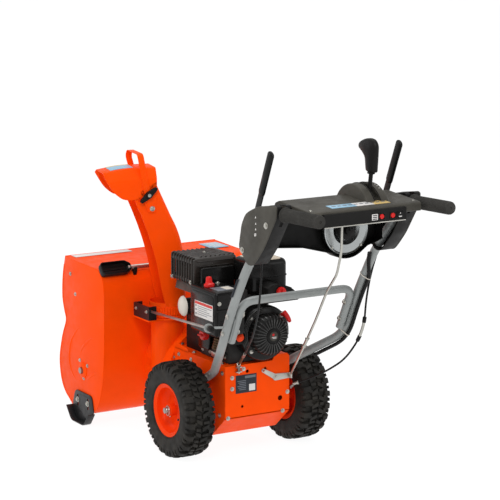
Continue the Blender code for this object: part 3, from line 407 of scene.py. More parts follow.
def skin(rows, thickness):
    """An open grid of points with thickness, from Solidify."""
    bm = bmesh.new()
    grid = [[bm.verts.new(p) for p in row] for row in rows]
    for lower, upper in zip(grid, grid[1:]):
        for a, b, c, d in zip(lower, lower[1:], upper[1:], upper):
            bm.faces.new((a, b, c, d))
    obj = linked("skin", as_mesh(bm))
    mod = obj.modifiers.new("thickness", 'SOLIDIFY')
    mod.thickness = thickness
    mod.offset = 0.0
    mod.use_even_offset = True
    mesh = applied(obj)
    bm = bmesh.new()
    bm.from_mesh(mesh)
    bmesh.ops.remove_doubles(bm, verts=bm.verts, dist=1e-6)
    bmesh.ops.recalc_face_normals(bm, faces=bm.faces)
    bm.to_mesh(mesh)
    bm.free()
    return mesh


def loft(rings):
    """Closed rings of points joined one to the next, with both ends capped."""
    bm = bmesh.new()
    loops = [[bm.verts.new(p) for p in ring] for ring in rings]
    for lower, upper in zip(loops, loops[1:]):
        for a, b, c, d in zip(lower, lower[1:] + lower[:1], upper[1:] + upper[:1], upper):
            bm.faces.new((a, b, c, d))
    bm.faces.new(loops[0])
    bm.faces.new(loops[-1])
    bmesh.ops.recalc_face_normals(bm, faces=bm.faces)
    return as_mesh(bm)


def carve(mesh, *tools, how='DIFFERENCE'):
    for tool in tools:
        obj, other = linked("carved", mesh), linked("tool", tool)
        mod = obj.modifiers.new("carve", 'BOOLEAN')
        mod.operation = how
        mod.solver = 'EXACT'
        mod.object = other
        mesh = applied(obj)
        bpy.data.objects.remove(other)
    return mesh


def softened(mesh, width, steps=2, angle=35.0):
    bm = bmesh.new()
    bm.from_mesh(mesh)
    bmesh.ops.dissolve_limit(bm, angle_limit=math.radians(0.5), verts=bm.verts, edges=bm.edges)
    soften(bm, width, steps, angle)
    bm.to_mesh(mesh)
    bm.free()
    return mesh


def moved(mesh, matrix):
    mesh = mesh.copy()
    mesh.transform(matrix)
    if matrix.determinant() < 0:
        mesh.flip_normals()
    return mesh


MIRROR = Matrix.Scale(-1.0, 4, (1, 0, 0))
SIDES = ((1, "left"), (-1, "right"))


def piece(name, parts, mat, body="machine", replaces=(), slot=None, smooth=38.0):
    """One visible object made of one or more shapes, riding on a CAD body."""
    parts = parts if isinstance(parts, (list, tuple)) else [parts]
    bm = bmesh.new()
    for part in parts:
        bm.from_mesh(part)
    mesh = as_mesh(bm, name)
    mesh.transform(Matrix.Translation(OFFSET))
    mesh.materials.append(mat)
    mesh.shade_smooth()
    mesh.set_sharp_from_angle(angle=math.radians(smooth))
    obj = linked(name, mesh)
    slot = slot or SLOT_OF[mat.name]
    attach(obj, body)
    if replaces:
        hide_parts(*replaces)


def keep(node, mat, edge=0.0):
    """Show a CAD node in a better material, its edges rounded a little."""
    obj = NODES[node]
    obj.data.materials.clear()
    obj.data.materials.append(mat)
    if edge:
        mod = obj.modifiers.new("edge", 'BEVEL')
        mod.width = edge
        mod.segments = 2
        mod.limit_method = 'ANGLE'
        mod.angle_limit = math.radians(30)
        mod.harden_normals = False


def bolt(at, axis, size=0.006, tall=0.005, washer=True):
    """A flanged hex head: points along axis out of the surface."""
    at, axis = Vector(at), Vector(axis).normalized()
    shapes = []
    if washer:
        shapes.append(pin(at - axis * 0.001, at + axis * 0.0014, size * 1.45, 24, edge=0.0004))
    shapes.append(pin(at, at + axis * tall, size, 6, edge=size * 0.10))
    shapes.append(pin(at, at + axis * (tall + 0.0015), size * 0.42, 16, edge=0.0004))
    return shapes


def bolts(places, axis, size=0.006, tall=0.005, washer=True):
    """The same bolt head at each place, all along one axis."""
    return [shape for at in places for shape in bolt(at, axis, size, tall, washer)]


def carriage(at, axis, size=0.009):
    """A domed carriage bolt head."""
    at, axis = Vector(at), Vector(axis).normalized()
    turn = pointing(axis)
    dome = [(0.0, size * 0.42), (size * 0.5, size * 0.36), (size * 0.85, size * 0.18), (size, 0.0),
            (size * 0.9, -0.001), (0.0, -0.001)]
    return lathe(dome, Matrix.Translation(at) @ turn, 24)


def arc(centre, radius, start, end, count):
    step = (end - start) / (count - 1)
    return [(centre[0] + radius * math.cos(math.radians(start + step * i)),
             centre[1] + radius * math.sin(math.radians(start + step * i))) for i in range(count)]


def oval(wide, tall, sides, centre=(0, 0)):
    return [(centre[0] + wide * math.cos(2 * math.pi * i / sides),
             centre[1] + tall * math.sin(2 * math.pi * i / sides)) for i in range(sides)]


def circle(radius, sides=16):
    return oval(radius, radius, sides)


def knurl(place, count, foot, top, radius):
    """Grip ribs round a cap, each from one (radius, height) to another."""
    shapes = []
    for i in range(count):
        a = 2 * math.pi * i / count
        ends = [place @ Vector((r * math.cos(a), r * math.sin(a), h)) for r, h in (foot, top)]
        shapes.append(pin(*ends, radius, 6))
    return shapes


def grown(outline, distance):
    """Move a closed outline's edges outwards."""
    area = sum(a[0] * b[1] - b[0] * a[1] for a, b in zip(outline, outline[1:] + outline[:1]))
    side = 1.0 if area > 0 else -1.0
    out = []
    for i, q in enumerate(outline):
        q = Vector(q)
        d1 = (q - Vector(outline[i - 1])).normalized()
        d2 = (Vector(outline[(i + 1) % len(outline)]) - q).normalized()
        n1 = Vector((d1.y, -d1.x)) * side
        n2 = Vector((d2.y, -d2.x)) * side
        m = (n1 + n2).normalized()
        out.append(tuple(q + m * distance / max(0.4, m.dot(n1))))
    return out


def rounded_outline(points, radius, steps=5):
    """Round the corners of a closed outline."""
    out = []
    count = len(points)
    for i in range(count):
        a, q, b = (Vector(points[i - 1]), Vector(points[i]), Vector(points[(i + 1) % count]))
        reach = min(radius, (a - q).length * 0.48, (b - q).length * 0.48)
        first = q + (a - q).normalized() * reach
        last = q + (b - q).normalized() * reach
        for j in range(steps + 1):
            t = j / steps
            out.append(tuple(first.lerp(q, t).lerp(q.lerp(last, t), t)))
    return out


def rounded_box(left, low, right, high, radius, steps=5):
    """A rectangle with round corners."""
    return rounded_outline([(left, low), (right, low), (right, high), (left, high)], radius, steps)


# -------------------------------------------------------------- auger housing

HALF = 0.312
AUGER = Vector((0, -0.554, 0.191))
FAN_Z = 0.228
TOP = [(-0.685, 0.585), (-0.520, 0.581), (-0.446, 0.580), (-0.415, 0.571), (-0.392, 0.545),
       (-0.385, 0.510)]
REAR = [(-0.385, 0.400), (-0.388, 0.290), (-0.402, 0.170), (-0.435, 0.085), (-0.485, 0.040),
        (-0.640, 0.040)]
FRONT = [(-0.640, 0.040), (-0.662, 0.060), (-0.694, 0.079), (-0.722, 0.110), (-0.737, 0.152),
         (-0.740, 0.208), (-0.716, 0.287), (-0.685, 0.349), (-0.696, 0.384), (-0.710, 0.430),
         (-0.708, 0.493), (-0.698, 0.542), (-0.685, 0.585)]


def housing_outline():
    """The housing's side, in two runs of (y, z): over the back, then up the front."""
    back = [(p.x, p.y) for p in bent([(*p, 0) for p in TOP + REAR], 0.05, 5)]
    return back, [tuple(p) for p in spline(FRONT, 4)][1:-1]


def auger_housing():
    back, front = housing_outline()
    outline = back + front
    wall = 0.003
    plate = slab(outline, "X", HALF - wall, HALF, 0.0007)
    rim = pipe([(HALF - 0.0015, y + 0.001, z) for y, z in front[2:-2]], 0.0026, 8)
    inner = grown(outline, -wall / 2)
    rows = []
    for y, z in inner[:len(back)]:
        rows.append([(x, y, z) for x in (-HALF + wall, HALF - wall)])
    wrap = skin(rows, wall)
    wrap = carve(wrap, pin((0, -0.50, FAN_Z), (0, -0.30, FAN_Z), 0.147, 64))
    nose = pipe([(x, -0.6845, 0.5835) for x in (-HALF + 0.002, 0, HALF - 0.002)], 0.0034, 10)
    parts = [plate, moved(plate, MIRROR), wrap, rim, moved(rim, MIRROR), nose]
    flange = lathe([(0.0125, 0.0), (0.030, 0.0), (0.030, 0.002), (0.020, 0.0055), (0.0125, 0.0065)],
                   facing("X", (HALF, AUGER.y, AUGER.z)), 48)
    parts += [flange, moved(flange, MIRROR)]
    swells = ([(-0.545, 0.352), (-0.590, 0.335), (-0.630, 0.300), (-0.655, 0.262), (-0.664, 0.215),
               (-0.655, 0.180), (-0.632, 0.155), (-0.605, 0.143)],
              [(-0.455, 0.330), (-0.500, 0.312), (-0.540, 0.286), (-0.566, 0.262), (-0.580, 0.240)],
              [(-0.440, 0.204), (-0.470, 0.194), (-0.505, 0.174), (-0.528, 0.160)])
    for line in swells:
        curve = spline([(HALF - 0.0010, y, z) for y, z in line], 6)
        swell = sweep(curve, lambda t: circle(0.0058 * (0.3 + 0.7 * math.sin(math.pi * t))))
        squash = (Matrix.Translation((HALF - 0.0010, 0, 0)) @ Matrix.Scale(0.55, 4, (1, 0, 0))
                  @ Matrix.Translation((0.0010 - HALF, 0, 0)))
        swell = moved(swell, squash)
        parts += [swell, moved(swell, MIRROR)]
    piece("auger_housing_shell", parts, ORANGE, replaces=["auger_housing"])
    places = ((-0.642, 0.528), (-0.605, 0.460), (-0.577, 0.223), (-0.518, 0.214), (-0.547, 0.163))
    heads = []
    for side in (1, -1):
        heads += bolts([(side * HALF, y, z) for y, z in places], (side, 0, 0), 0.005, 0.004)
    piece("housing_bolts", heads, ZINC)


def impeller_drum():
    front, back = -0.470, -0.213
    spout = (0.1036, -0.305)
    body = pin((0, front, FAN_Z), (0, back, FAN_Z), 0.150, 96)
    body = carve(body, pin((*spout, 0.229), (*spout, 0.418), 0.058, 64), how='UNION')
    body = carve(body, pin((*spout, 0.413), (*spout, 0.418), 0.0722, 64), how='UNION')
    body = carve(body, block((0.150, -0.362, 0.4131), (0.2075, -0.248, 0.4179), 0), how='UNION')
    body = carve(body, pin((0, front - 0.01, FAN_Z), (0, back - 0.003, FAN_Z), 0.147, 96))
    body = carve(body, pin((*spout, 0.232), (*spout, 0.430), 0.055, 64))
    body = carve(body, pin((0, -0.25, FAN_Z), (0, -0.20, FAN_Z), 0.0096, 24))
    back_run, front_run = housing_outline()
    body = carve(body, slab(grown(back_run + front_run, 0.0002), "X", -0.32, 0.32, 0))
    piece("impeller_drum", body, ORANGE, replaces=["impeller_housing"])
    heads = bolts([(x, back, z) for x, z in arc((0, FAN_Z), 0.139, 25, 157, 7)], (0, 1, 0), 0.0045,
                  0.0035)
    piece("drum_bolts", heads, ZINC)


def skids_and_scraper():
    keep("scraper_bar", STEEL, 0.001)
    band = bent([(0, -0.638, 0.048), (0, -0.600, 0.002), (0, -0.500, 0.002), (0, -0.464, 0.048)],
                0.016, 5)
    sole = skin([[(x, p.y, p.z) for x in (0.3127, 0.3400)] for p in band], 0.0038)
    face = rounded_outline([(-0.610, 0.110), (-0.634, 0.048), (-0.600, 0.001), (-0.500, 0.001),
                            (-0.468, 0.048), (-0.482, 0.110)], 0.018)
    plate = slab(face, "X", HALF + 0.0003, HALF + 0.0043, 0.0006)
    slots = [slab(rounded_box(y - 0.005, 0.052, y + 0.005, 0.096, 0.005), "X", 0.30, 0.33, 0)
             for y in (-0.590, -0.512)]
    plate = carve(plate, *slots)
    left = [softened(sole, 0.0008), plate]
    for side, label in SIDES:
        parts = left if side > 0 else [moved(p, MIRROR) for p in left]
        piece("skid_shoe_body_" + label, parts, BLACK_PAINT, replaces=["skid_shoe_" + label],
              slot="black_metal")
        heads = bolts([(side * (HALF + 0.0045), y, 0.076) for y in (-0.590, -0.512)], (side, 0, 0),
                      0.0072, 0.006)
        piece("skid_bolts_" + label, heads, ZINC)


# ---------------------------------------------------------- auger and impeller

def on_auger(side, share, radius):
    """A point of the ribbon's helix, a share of the way along one half."""
    a = math.radians(90 + side * 520 * share)
    return AUGER + Vector((side * (0.034 + 0.262 * share), radius * math.cos(a),
                           radius * math.sin(a)))


def flight(side):
    steps = 110
    return skin([[on_auger(side, i / steps, r) for r in (0.106, 0.124, 0.1415)]
                 for i in range(steps + 1)], 0.0032)


def augers():
    for side, label in SIDES:
        parts = [lathe([(0.0114, 0.0215), (0.0165, 0.0215), (0.0165, 0.300), (0.0114, 0.300)],
                       facing("X" if side > 0 else "-X", AUGER), 40),
                 softened(flight(side), 0.0006)]
        for t in (0.10, 0.42, 0.72, 0.95):
            parts.append(pin(on_auger(side, t, 0.0145), on_auger(side, t, 0.116), 0.0065, 16))
        parts += bolt(AUGER + Vector((side * 0.060, 0, 0.0165)), (0, 0, 1), 0.005, 0.004, False)
        piece("auger_ribbon_" + label, parts, BLACK_PAINT, "auger", ["auger_" + label],
              slot="black_paint")
    keep("auger_axle", STEEL, 0.0006)
    keep("auger_gearbox", DARK_CAST, 0.0016)
    keep("impeller", BLACK_PAINT, 0.0005)
    keep("impeller_shaft", STEEL, 0.0005)
    heads = []
    for side in (1, -1):
        heads += bolts([(side * 0.0198, y, z) for y in (-0.586, -0.522) for z in (0.214, 0.168)],
                       (side, 0, 0), 0.0045, 0.004, False)
    piece("gearbox_bolts", heads, ZINC)


# ---------------------------------------------------------------------- chute

CHUTE_AT = Vector((0.1036, -0.305, 0))
CHUTE = Matrix.Translation(CHUTE_AT) @ Matrix.Rotation(math.radians(-13), 4, 'Z')
PIVOT = (0.070, 0.811)
KNOB = (0.084, 0.860)


def chute():
    levels = [(0.462, -0.052, 0.022), (0.520, -0.054, 0.036), (0.592, -0.050, 0.049),
              (0.664, -0.043, 0.066), (0.730, -0.024, 0.087), (0.786, 0.002, 0.108),
              (0.839, 0.026, 0.129), (0.893, 0.050, 0.140)]
    half = 0.06125
    rows = []
    for z, back, edge in spline(levels, 5):
        bow = [(back + 0.020 - 0.020 * math.sin(a), half - 0.020 + 0.020 * math.cos(a))
               for a in (math.radians(15 * k) for k in range(7))]
        flat = [(back + 0.045, half)] + bow
        ring = [(edge, half)] + flat
        ring += [(s, -n) for s, n in reversed(ring)]
        drop = 0.040 * max(0.0, (z - 0.850) / 0.043)
        rows.append([(s, n, z - (drop if i in (0, len(ring) - 1) else 0.0))
                     for i, (s, n) in enumerate(ring)])
    channel = skin(rows, 0.0025)
    start = math.degrees(math.atan2(KNOB[1] - PIVOT[1], KNOB[0] - PIVOT[0]))
    reach = math.hypot(KNOB[1] - PIVOT[1], KNOB[0] - PIVOT[0])
    slot = (arc(PIVOT, reach + 0.0042, start + 5, start - 45, 18)
            + arc(PIVOT, reach - 0.0042, start - 45, start + 5, 18))
    channel = carve(channel, slab(slot, "Y", 0.05, 0.08, 0),
                    pin((PIVOT[0], -0.08, PIVOT[1]), (PIVOT[0], 0.08, PIVOT[1]), 0.0046, 20))
    channel = softened(channel, 0.0005, 1)
    base = lathe([(0.0610, 0.4205), (0.0660, 0.4205), (0.0660, 0.4245), (0.0635, 0.4265),
                  (0.0635, 0.4720), (0.0610, 0.4720)], Matrix.Identity(4), 96)
    parts = [channel, base]
    piece("chute_channel", [moved(p, CHUTE) for p in parts], CHUTE_ORANGE, "chute", ["chute"])
    teeth = [lathe([(0.0637, 0.4300), (0.0662, 0.4300), (0.0662, 0.4550), (0.0637, 0.4550)],
                   Matrix.Identity(4), 96)]
    for i in range(44):
        turn = Matrix.Rotation(2 * math.pi * i / 44, 4, 'Z')
        tooth = slab([(0.0655, -0.0028), (0.0689, -0.0014), (0.0689, 0.0014), (0.0655, 0.0028)],
                     "Z", 0.4305, 0.4545, 0)
        teeth.append(moved(tooth, CHUTE @ turn))
    teeth[0] = moved(teeth[0], CHUTE)
    piece("chute_ring_gear", teeth, CHUTE_ORANGE, "chute")


def deflector():
    stations = [(0.052, 0.891, 0.950), (0.090, 0.864, 0.950), (0.128, 0.845, 0.950),
                (0.167, 0.846, 0.948), (0.191, 0.860, 0.945), (0.212, 0.882, 0.942),
                (0.238, 0.925, 0.938)]
    rows = []
    half, inner = 0.0655, 0.0475
    for s, low, top in spline(stations, 4):
        shoulder = max(low + 0.004, top - 0.032)
        rise = shoulder - low
        right = [(half, low), (half, low + rise * 0.5), (half, low + rise * 0.9),
                 (half - 0.001, shoulder + 0.0008), (inner + 0.0015, top - 0.0016),
                 (inner - 0.003, top)]
        section = right + [(-n, z) for n, z in reversed(right)]
        rows.append([(s, n, z) for n, z in section])
    hood = softened(skin(rows, 0.0025), 0.0004, 1, 60)
    parts = [hood]
    for sign in (1, -1):
        ear = rounded_outline([(0.052, 0.905), (0.056, 0.797), (0.084, 0.797), (0.112, 0.872)],
                              0.008)
        low = sign * half - 0.00125
        parts.append(slab(ear, "Y", low, low + 0.0025, 0.0005))
    path = [(0.070, 0.0680, 0.798), (0.085, 0.0680, 0.860), (0.100, 0.0680, 0.930),
            (0.107, 0.0680, 0.978), (0.109, 0.0580, 1.0005), (0.115, -0.0580, 1.0005),
            (0.117, -0.0680, 0.978), (0.104, -0.0680, 0.930), (0.085, -0.0680, 0.860),
            (0.070, -0.0680, 0.798)]
    rows = [[(p.x - 0.011, p.y, p.z), (p.x + 0.011, p.y, p.z)] for p in bent(path, 0.014, 4)]
    strap = softened(skin(rows, 0.0028), 0.0006, 1, 60)
    hole = pin((KNOB[0], 0.06, KNOB[1]), (KNOB[0], 0.08, KNOB[1]), 0.0042, 20)
    parts = [carve(p, hole) if p is strap or i in (0, 1) else p
             for i, p in enumerate(parts + [strap])]
    piece("deflector_hood", [moved(p, CHUTE) for p in parts], CHUTE_ORANGE, "deflector",
          ["deflector"], smooth=22.0)
    tops = ((0.128, 0.9521), (0.150, 0.9513), (0.172, 0.9500), (0.194, 0.9470), (0.208, 0.9448))
    for name, low, high, mat in (("deflector_label", -0.030, 0.034, LABEL_BLUE),
                                 ("deflector_label_tail", -0.042, -0.030, LABEL_YELLOW)):
        rows = [[(s, low, z), (s, high, z)] for s, z in tops]
        piece(name, moved(skin(rows, 0.0008), CHUTE), mat, "deflector")
    heads = []
    for sign in (1, -1):
        heads += bolt((PIVOT[0], sign * 0.0694, PIVOT[1]), (0, sign, 0), 0.0062, 0.0045)
        heads.append(pin((PIVOT[0], sign * 0.057, PIVOT[1]), (PIVOT[0], sign * 0.070, PIVOT[1]),
                         0.0039, 16))
    heads.append(carriage((KNOB[0], -0.0694, KNOB[1]), (0, -1, 0), 0.008))
    piece("deflector_bolts", [moved(p, CHUTE) for p in heads], ZINC, "deflector")


def wing_knob():
    wing = rounded_outline([(-0.038, -0.0035), (-0.034, -0.0065), (0.0, -0.0125), (0.034, -0.0065),
                            (0.038, -0.0035), (0.038, 0.0035), (0.034, 0.0065), (0.0, 0.0125),
                            (-0.034, 0.0065), (-0.038, 0.0035)], 0.004)
    turn = Matrix.Translation((KNOB[0], 0, KNOB[1])) @ Matrix.Rotation(math.radians(40.0), 4, 'Y')
    blade = moved(slab(wing, "Y", 0.0712, 0.0815, 0.002, 3), turn)
    hub = lathe([(0.0, 0.0705), (0.0115, 0.0705), (0.0125, 0.079), (0.0105, 0.086), (0.0, 0.086)],
                facing("Y", (KNOB[0], 0, KNOB[1])), 40)
    piece("wing_knob_body", [moved(p, CHUTE) for p in (blade, hub)], BLACK_PLASTIC, "wing_knob",
          ["wing_knob"])
    stud = [pin((KNOB[0], 0.056, KNOB[1]), (KNOB[0], 0.0875, KNOB[1]), 0.0035, 20, edge=0.0005),
            pin((KNOB[0], 0.0855, KNOB[1]), (KNOB[0], 0.0868, KNOB[1]), 0.006, 24)]
    piece("wing_knob_insert", [moved(p, CHUTE) for p in stud], ZINC, "wing_knob")


WORM = Vector((0.1845, -0.305, 0.4425))
EYE = Vector((0.300, 0.326, 0.517))
CRANK = (EYE - WORM).normalized()


def on_crank(y):
    return WORM + CRANK * ((y - WORM.y) / CRANK.y)


def chute_drive():
    keep("chute_drive_bracket", BLACK_PAINT, 0.0012)
    start = on_crank(-0.344)
    end = on_crank(-0.266)
    shapes = [pin(on_crank(-0.372), on_crank(0.340), 0.0046, 24, edge=0.0006)]
    piece("chute_crank_rod", shapes, STEEL, "chute_crank", ["chute_crank"])
    turn = pointing(CRANK)
    length = (end - start).length
    core = pin(start, end, 0.0062, 24)
    helix = []
    for i in range(91):
        a = 2 * math.pi * i / 15
        h = 0.003 + (length - 0.006) * i / 90
        helix.append(turn @ Vector((0.0069 * math.cos(a), 0.0069 * math.sin(a), h)) + start)
    thread = pipe(helix, 0.0016, 6)
    piece("chute_worm", [core, thread], BLACK_PLASTIC, "chute_crank")
    knob = [(0.0, 0.0), (0.0085, 0.0), (0.0100, 0.003), (0.0102, 0.012), (0.0096, 0.020),
            (0.0078, 0.024), (0.0, 0.025)]
    place = Matrix.Translation(on_crank(0.338)) @ turn
    grips = [lathe(knob, place, 40)]
    for i in range(10):
        a = 2 * math.pi * i / 10
        rib = [place @ Vector((r * math.cos(a), r * math.sin(a), h))
               for r, h in ((0.0098, 0.004), (0.0100, 0.012), (0.0094, 0.020))]
        grips.append(pipe(rib, 0.0009, 6))
    piece("chute_crank_knob", grips, BLACK_PLASTIC, "chute_crank")
    collar = lathe([(0.0050, -0.006), (0.0090, -0.006), (0.0098, -0.004), (0.0098, 0.000),
                    (0.0050, 0.000)], Matrix.Translation(on_crank(0.338)) @ turn, 32)
    piece("chute_crank_collar", collar, ZINC, "chute_crank")
    heads = []
    for y in (-0.352, -0.258):
        heads += bolt((0.2072, y + (0.009 if y < -0.3 else -0.009), 0.447), (1, 0, 0), 0.0045,
                      0.004)
    piece("drive_bracket_bolts", heads, ZINC)


# ---------------------------------------------------------------------- frame

CASE_X, PANEL_Y, DECK_Z = 0.127, 0.1364, 0.3252


def frame_box():
    for node in ("frame_case", "rear_panel", "bottom_cover"):
        keep(node, ORANGE, 0.0009)
    on_sides = ((-0.180, 0.305), (-0.095, 0.303), (-0.150, 0.120), (0.100, 0.150), (-0.020, 0.250),
                (0.118, 0.300))
    on_panel = ((0.100, 0.284), (0.100, 0.246), (-0.119, 0.208), (0.116, 0.146), (-0.100, 0.144),
                (0.055, 0.310))
    heads = []
    for side in (1, -1):
        heads += bolts([(side * CASE_X, y, z) for y, z in on_sides], (side, 0, 0), 0.0055, 0.0045)
    heads += bolts([(x, PANEL_Y, z) for x, z in on_panel], (0, 1, 0), 0.0052, 0.0045)
    heads += bolts([(x, y, DECK_Z) for x in (-0.105, 0.112) for y in (-0.17, -0.10, 0.09)],
                   (0, 0, 1), 0.0055, 0.0045)
    piece("frame_bolts", heads, ZINC)
    ears = []
    for side in (1, -1):
        ear = rounded_outline([(-0.2110, 0.322), (-0.110, 0.322), (-0.125, 0.336),
                               (-0.2110, 0.345)], 0.006)
        low = 0.1245 if side > 0 else -0.1270
        ears.append(slab(ear, "X", low, low + 0.0025, 0.0005))
    hump = slab(rounded_box(-0.1180, 0.3255, -0.0700, 0.3430, 0.003), "Y", 0.100, 0.1338, 0.001)
    ears.append(hump)
    bearing = lathe([(0.0108, 0.0), (0.030, 0.0), (0.030, 0.0025), (0.021, 0.0045), (0.0165, 0.012),
                     (0.0108, 0.012)], facing("X", (CASE_X + 0.0002, 0, WHEEL_RADIUS)), 40)
    ears += [bearing, moved(bearing, MIRROR)]
    piece("frame_ears", ears, ORANGE)


def rating_plate():
    """The data plate on the rear panel, with blank bars instead of print."""
    plate = block((0.004, PANEL_Y, 0.227), (0.086, 0.1372, 0.290), 0.0003)
    piece("rating_plate", plate, LABEL_DARK)
    marks = [block((0.008, 0.1371, 0.277), (0.050, 0.1375, 0.2855), 0)]
    for i in range(6):
        z = 0.268 - 0.006 * i
        marks.append(block((0.046, 0.1371, z), (0.080 - 0.004 * (i % 3), 0.1375, z + 0.0026), 0))
    piece("rating_plate_rows", marks, LABEL_GREY)
    blank = block((0.010, 0.1371, 0.232), (0.034, 0.1375, 0.255), 0)
    piece("rating_plate_blank", blank, LABEL_WHITE)


def panel_brackets():
    """The clevis on the rear panel that the drive cable pulls on."""
    clevis = [block((0.066, PANEL_Y, z), (0.088, 0.146, z + 0.0035), 0.0006)
              for z in (0.302, 0.318)]
    clevis.append(pin((0.077, 0.143, 0.298), (0.077, 0.143, 0.326), 0.0032, 16))
    piece("panel_brackets", clevis, ZINC)


WHEEL_X, WHEEL_RADIUS = 0.2285, 0.165
# The rows of tread blocks on each half of the tyre: distance from the middle at
# both ends, turn at both ends and width at both ends in degrees, height, cuts.
TREAD = ((0.027, 0.066, 0.0, 1.5, 8.2, 6.8, 0.0102, 6),
         (0.045, 0.070, 9.2, 9.2, 4.2, 3.8, 0.0070, 4),
         (0.0015, 0.0235, 3.0, 7.0, 5.8, 5.0, 0.0102, 3),
         (0.005, 0.0225, 11.4, 11.6, 3.4, 4.4, 0.0094, 3),
         (0.021, 0.030, 3.4, 3.4, 3.6, 3.6, 0.0092, 2))
PITCHES = 22


def tyre_crown():
    """The tyre's outside from edge to edge, as points of (across, radius)."""
    half = [Vector(p) for p in ((0.0545, 0.112), (0.0550, 0.127), (0.0520, 0.1420),
                                (0.0435, 0.1510), (0.0300, 0.1542), (0.0, 0.1552))]
    crown = spline(half + [Vector((-p.x, p.y)) for p in reversed(half[:-1])], 5)
    crown.reverse()
    return crown


def tyre_tread(crown):
    """Tread blocks that lie along the crown's curve, clipped to the tyre's size."""
    widest, tallest = 0.054, WHEEL_RADIUS - 0.0002
    reach = [0.0]
    for a, b in zip(crown, crown[1:]):
        reach.append(reach[-1] + (b - a).length)

    def on_tyre(across, angle, lift):
        s = min(max(across + reach[-1] / 2, 0.0), reach[-1])
        i = max(k for k in range(len(reach) - 1) if reach[k] <= s + 1e-12)
        ahead = crown[i + 1] - crown[i]
        p = crown[i].lerp(crown[i + 1], (s - reach[i]) / (reach[i + 1] - reach[i]))
        p = p + Vector((-ahead.y, ahead.x)).normalized() * lift
        r = min(p.y, tallest)
        return (r * math.cos(angle), r * math.sin(angle), max(-widest, min(widest, p.x)))

    def lug(bm, u0, u1, a0, a1, w0, w1, lift, cuts):
        top, foot = [], []
        for i in range(cuts + 1):
            t = i / cuts
            u = u0 + (u1 - u0) * t
            a = a0 + (a1 - a0) * t
            w = w0 + (w1 - w0) * t
            inset = 0.0012 if i == 0 else -0.0012 if i == cuts else 0.0
            for row, width, up, across in ((top, w * 0.84, lift, u + inset), (foot, w, -0.002, u)):
                row.append([bm.verts.new(on_tyre(across, math.radians(a + k * width), up))
                            for k in (-0.5, 0.0, 0.5)])
        for i in range(cuts):
            for j in (0, 1):
                bm.faces.new((top[i][j], top[i][j + 1], top[i + 1][j + 1], top[i + 1][j]))
                bm.faces.new((foot[i][j], foot[i + 1][j], foot[i + 1][j + 1], foot[i][j + 1]))
            for j in (0, 2):
                bm.faces.new((top[i][j], top[i + 1][j], foot[i + 1][j], foot[i][j]))
        for i in (0, cuts):
            for j in (0, 1):
                bm.faces.new((top[i][j], top[i][j + 1], foot[i][j + 1], foot[i][j]))

    bm = bmesh.new()
    for k in range(PITCHES):
        for sign in (1, -1):
            turn = 360.0 * k / PITCHES + (0.0 if sign > 0 else 180.0 / PITCHES)
            for u0, u1, a0, a1, *rest in TREAD:
                lug(bm, sign * u0, sign * u1, turn + a0, turn + a1, *rest)
    bmesh.ops.recalc_face_normals(bm, faces=bm.faces)
    return as_mesh(bm)


def tyre():
    crown = tyre_crown()
    outer = [(p.y, p.x) for p in reversed(crown)]
    bead = [(0.0985, 0.0528), (0.0945, 0.0495), (0.0905, 0.0452), (0.0810, 0.0398)]
    hollow = [(0.0810, 0.030), (0.110, 0.045), (0.150, 0.030)]
    shell = ([(r, x) for r, x in reversed(bead)] + outer + [(r, -x) for r, x in bead]
             + [(r, -x) for r, x in hollow] + [(r, x) for r, x in reversed(hollow)])
    ridges = [lathe([(r, 0.0515), (r + 0.0012, 0.0550 - abs(r - 0.118) * 0.1),
                     (r + 0.0024, 0.0515)], Matrix.Identity(4), 96) for r in (0.1035, 0.1085)]
    ridges += [moved(r, Matrix.Scale(-1, 4, (0, 0, 1))) for r in ridges]
    return [tyre_tread(crown), lathe(shell, Matrix.Identity(4), 96)] + ridges


RIM = [(0.0103, 0.042), (0.019, 0.042), (0.021, 0.040), (0.021, 0.018), (0.024, 0.0145),
       (0.036, 0.0120), (0.050, 0.0095), (0.060, 0.0105), (0.068, 0.0150), (0.0745, 0.0215),
       (0.0770, 0.029), (0.0775, 0.043), (0.083, 0.0462), (0.0895, 0.0490), (0.0915, 0.0482),
       (0.0900, 0.0465), (0.0805, 0.0402), (0.0805, -0.0402), (0.0900, -0.0465), (0.0915, -0.0482),
       (0.0895, -0.0490), (0.0775, -0.043), (0.0770, 0.012), (0.068, 0.0105), (0.060, 0.0075),
       (0.050, 0.0062), (0.021, 0.0095), (0.021, -0.030), (0.0103, -0.030)]
VALVE = [(0.0, 0.0), (0.0030, 0.0), (0.0030, 0.020), (0.0036, 0.021), (0.0036, 0.030), (0.0, 0.030)]
HUB = [(0.0, 0.0), (0.0108, 0.0), (0.0108, 0.010), (0.009, 0.0125), (0.0, 0.0125)]


def wheels():
    shapes = tyre()
    for side, label in SIDES:
        place = facing("X" if side > 0 else "-X", (side * WHEEL_X, 0, WHEEL_RADIUS))
        piece("tyre_body_" + label, [moved(p, place) for p in shapes], TYRE, "wheels",
              ["tyre_" + label], smooth=32.0)
        piece("rim_body_" + label, lathe(RIM, place, 96), RIM_ORANGE, "wheels", ["rim_" + label])
        valve = lathe(VALVE, place @ Matrix.Translation((0.020, 0.062, 0.010)), 16)
        piece("valve_stem_" + label, valve, BLACK_PLASTIC, "wheels")
        ring = [place @ Vector((0.0165 * math.cos(a), 0.005 + 0.0165 * math.sin(a),
                                0.0470 + 0.003 * math.sin(a)))
                for a in (math.radians(t) for t in range(0, 361, 15))]
        hub = [lathe(HUB, place @ Matrix.Translation((0, 0, 0.0425)), 32), pipe(ring, 0.0014, 8),
               pin(place @ Vector((-0.020, 0.0, 0.034)), place @ Vector((0.024, 0.0, 0.034)),
                   0.0034, 16, edge=0.0005)]
        piece("hub_pin_" + label, hub, ZINC, "wheels")
    keep("wheel_axle", STEEL, 0.0005)


# --------------------------------------------------------------------- engine

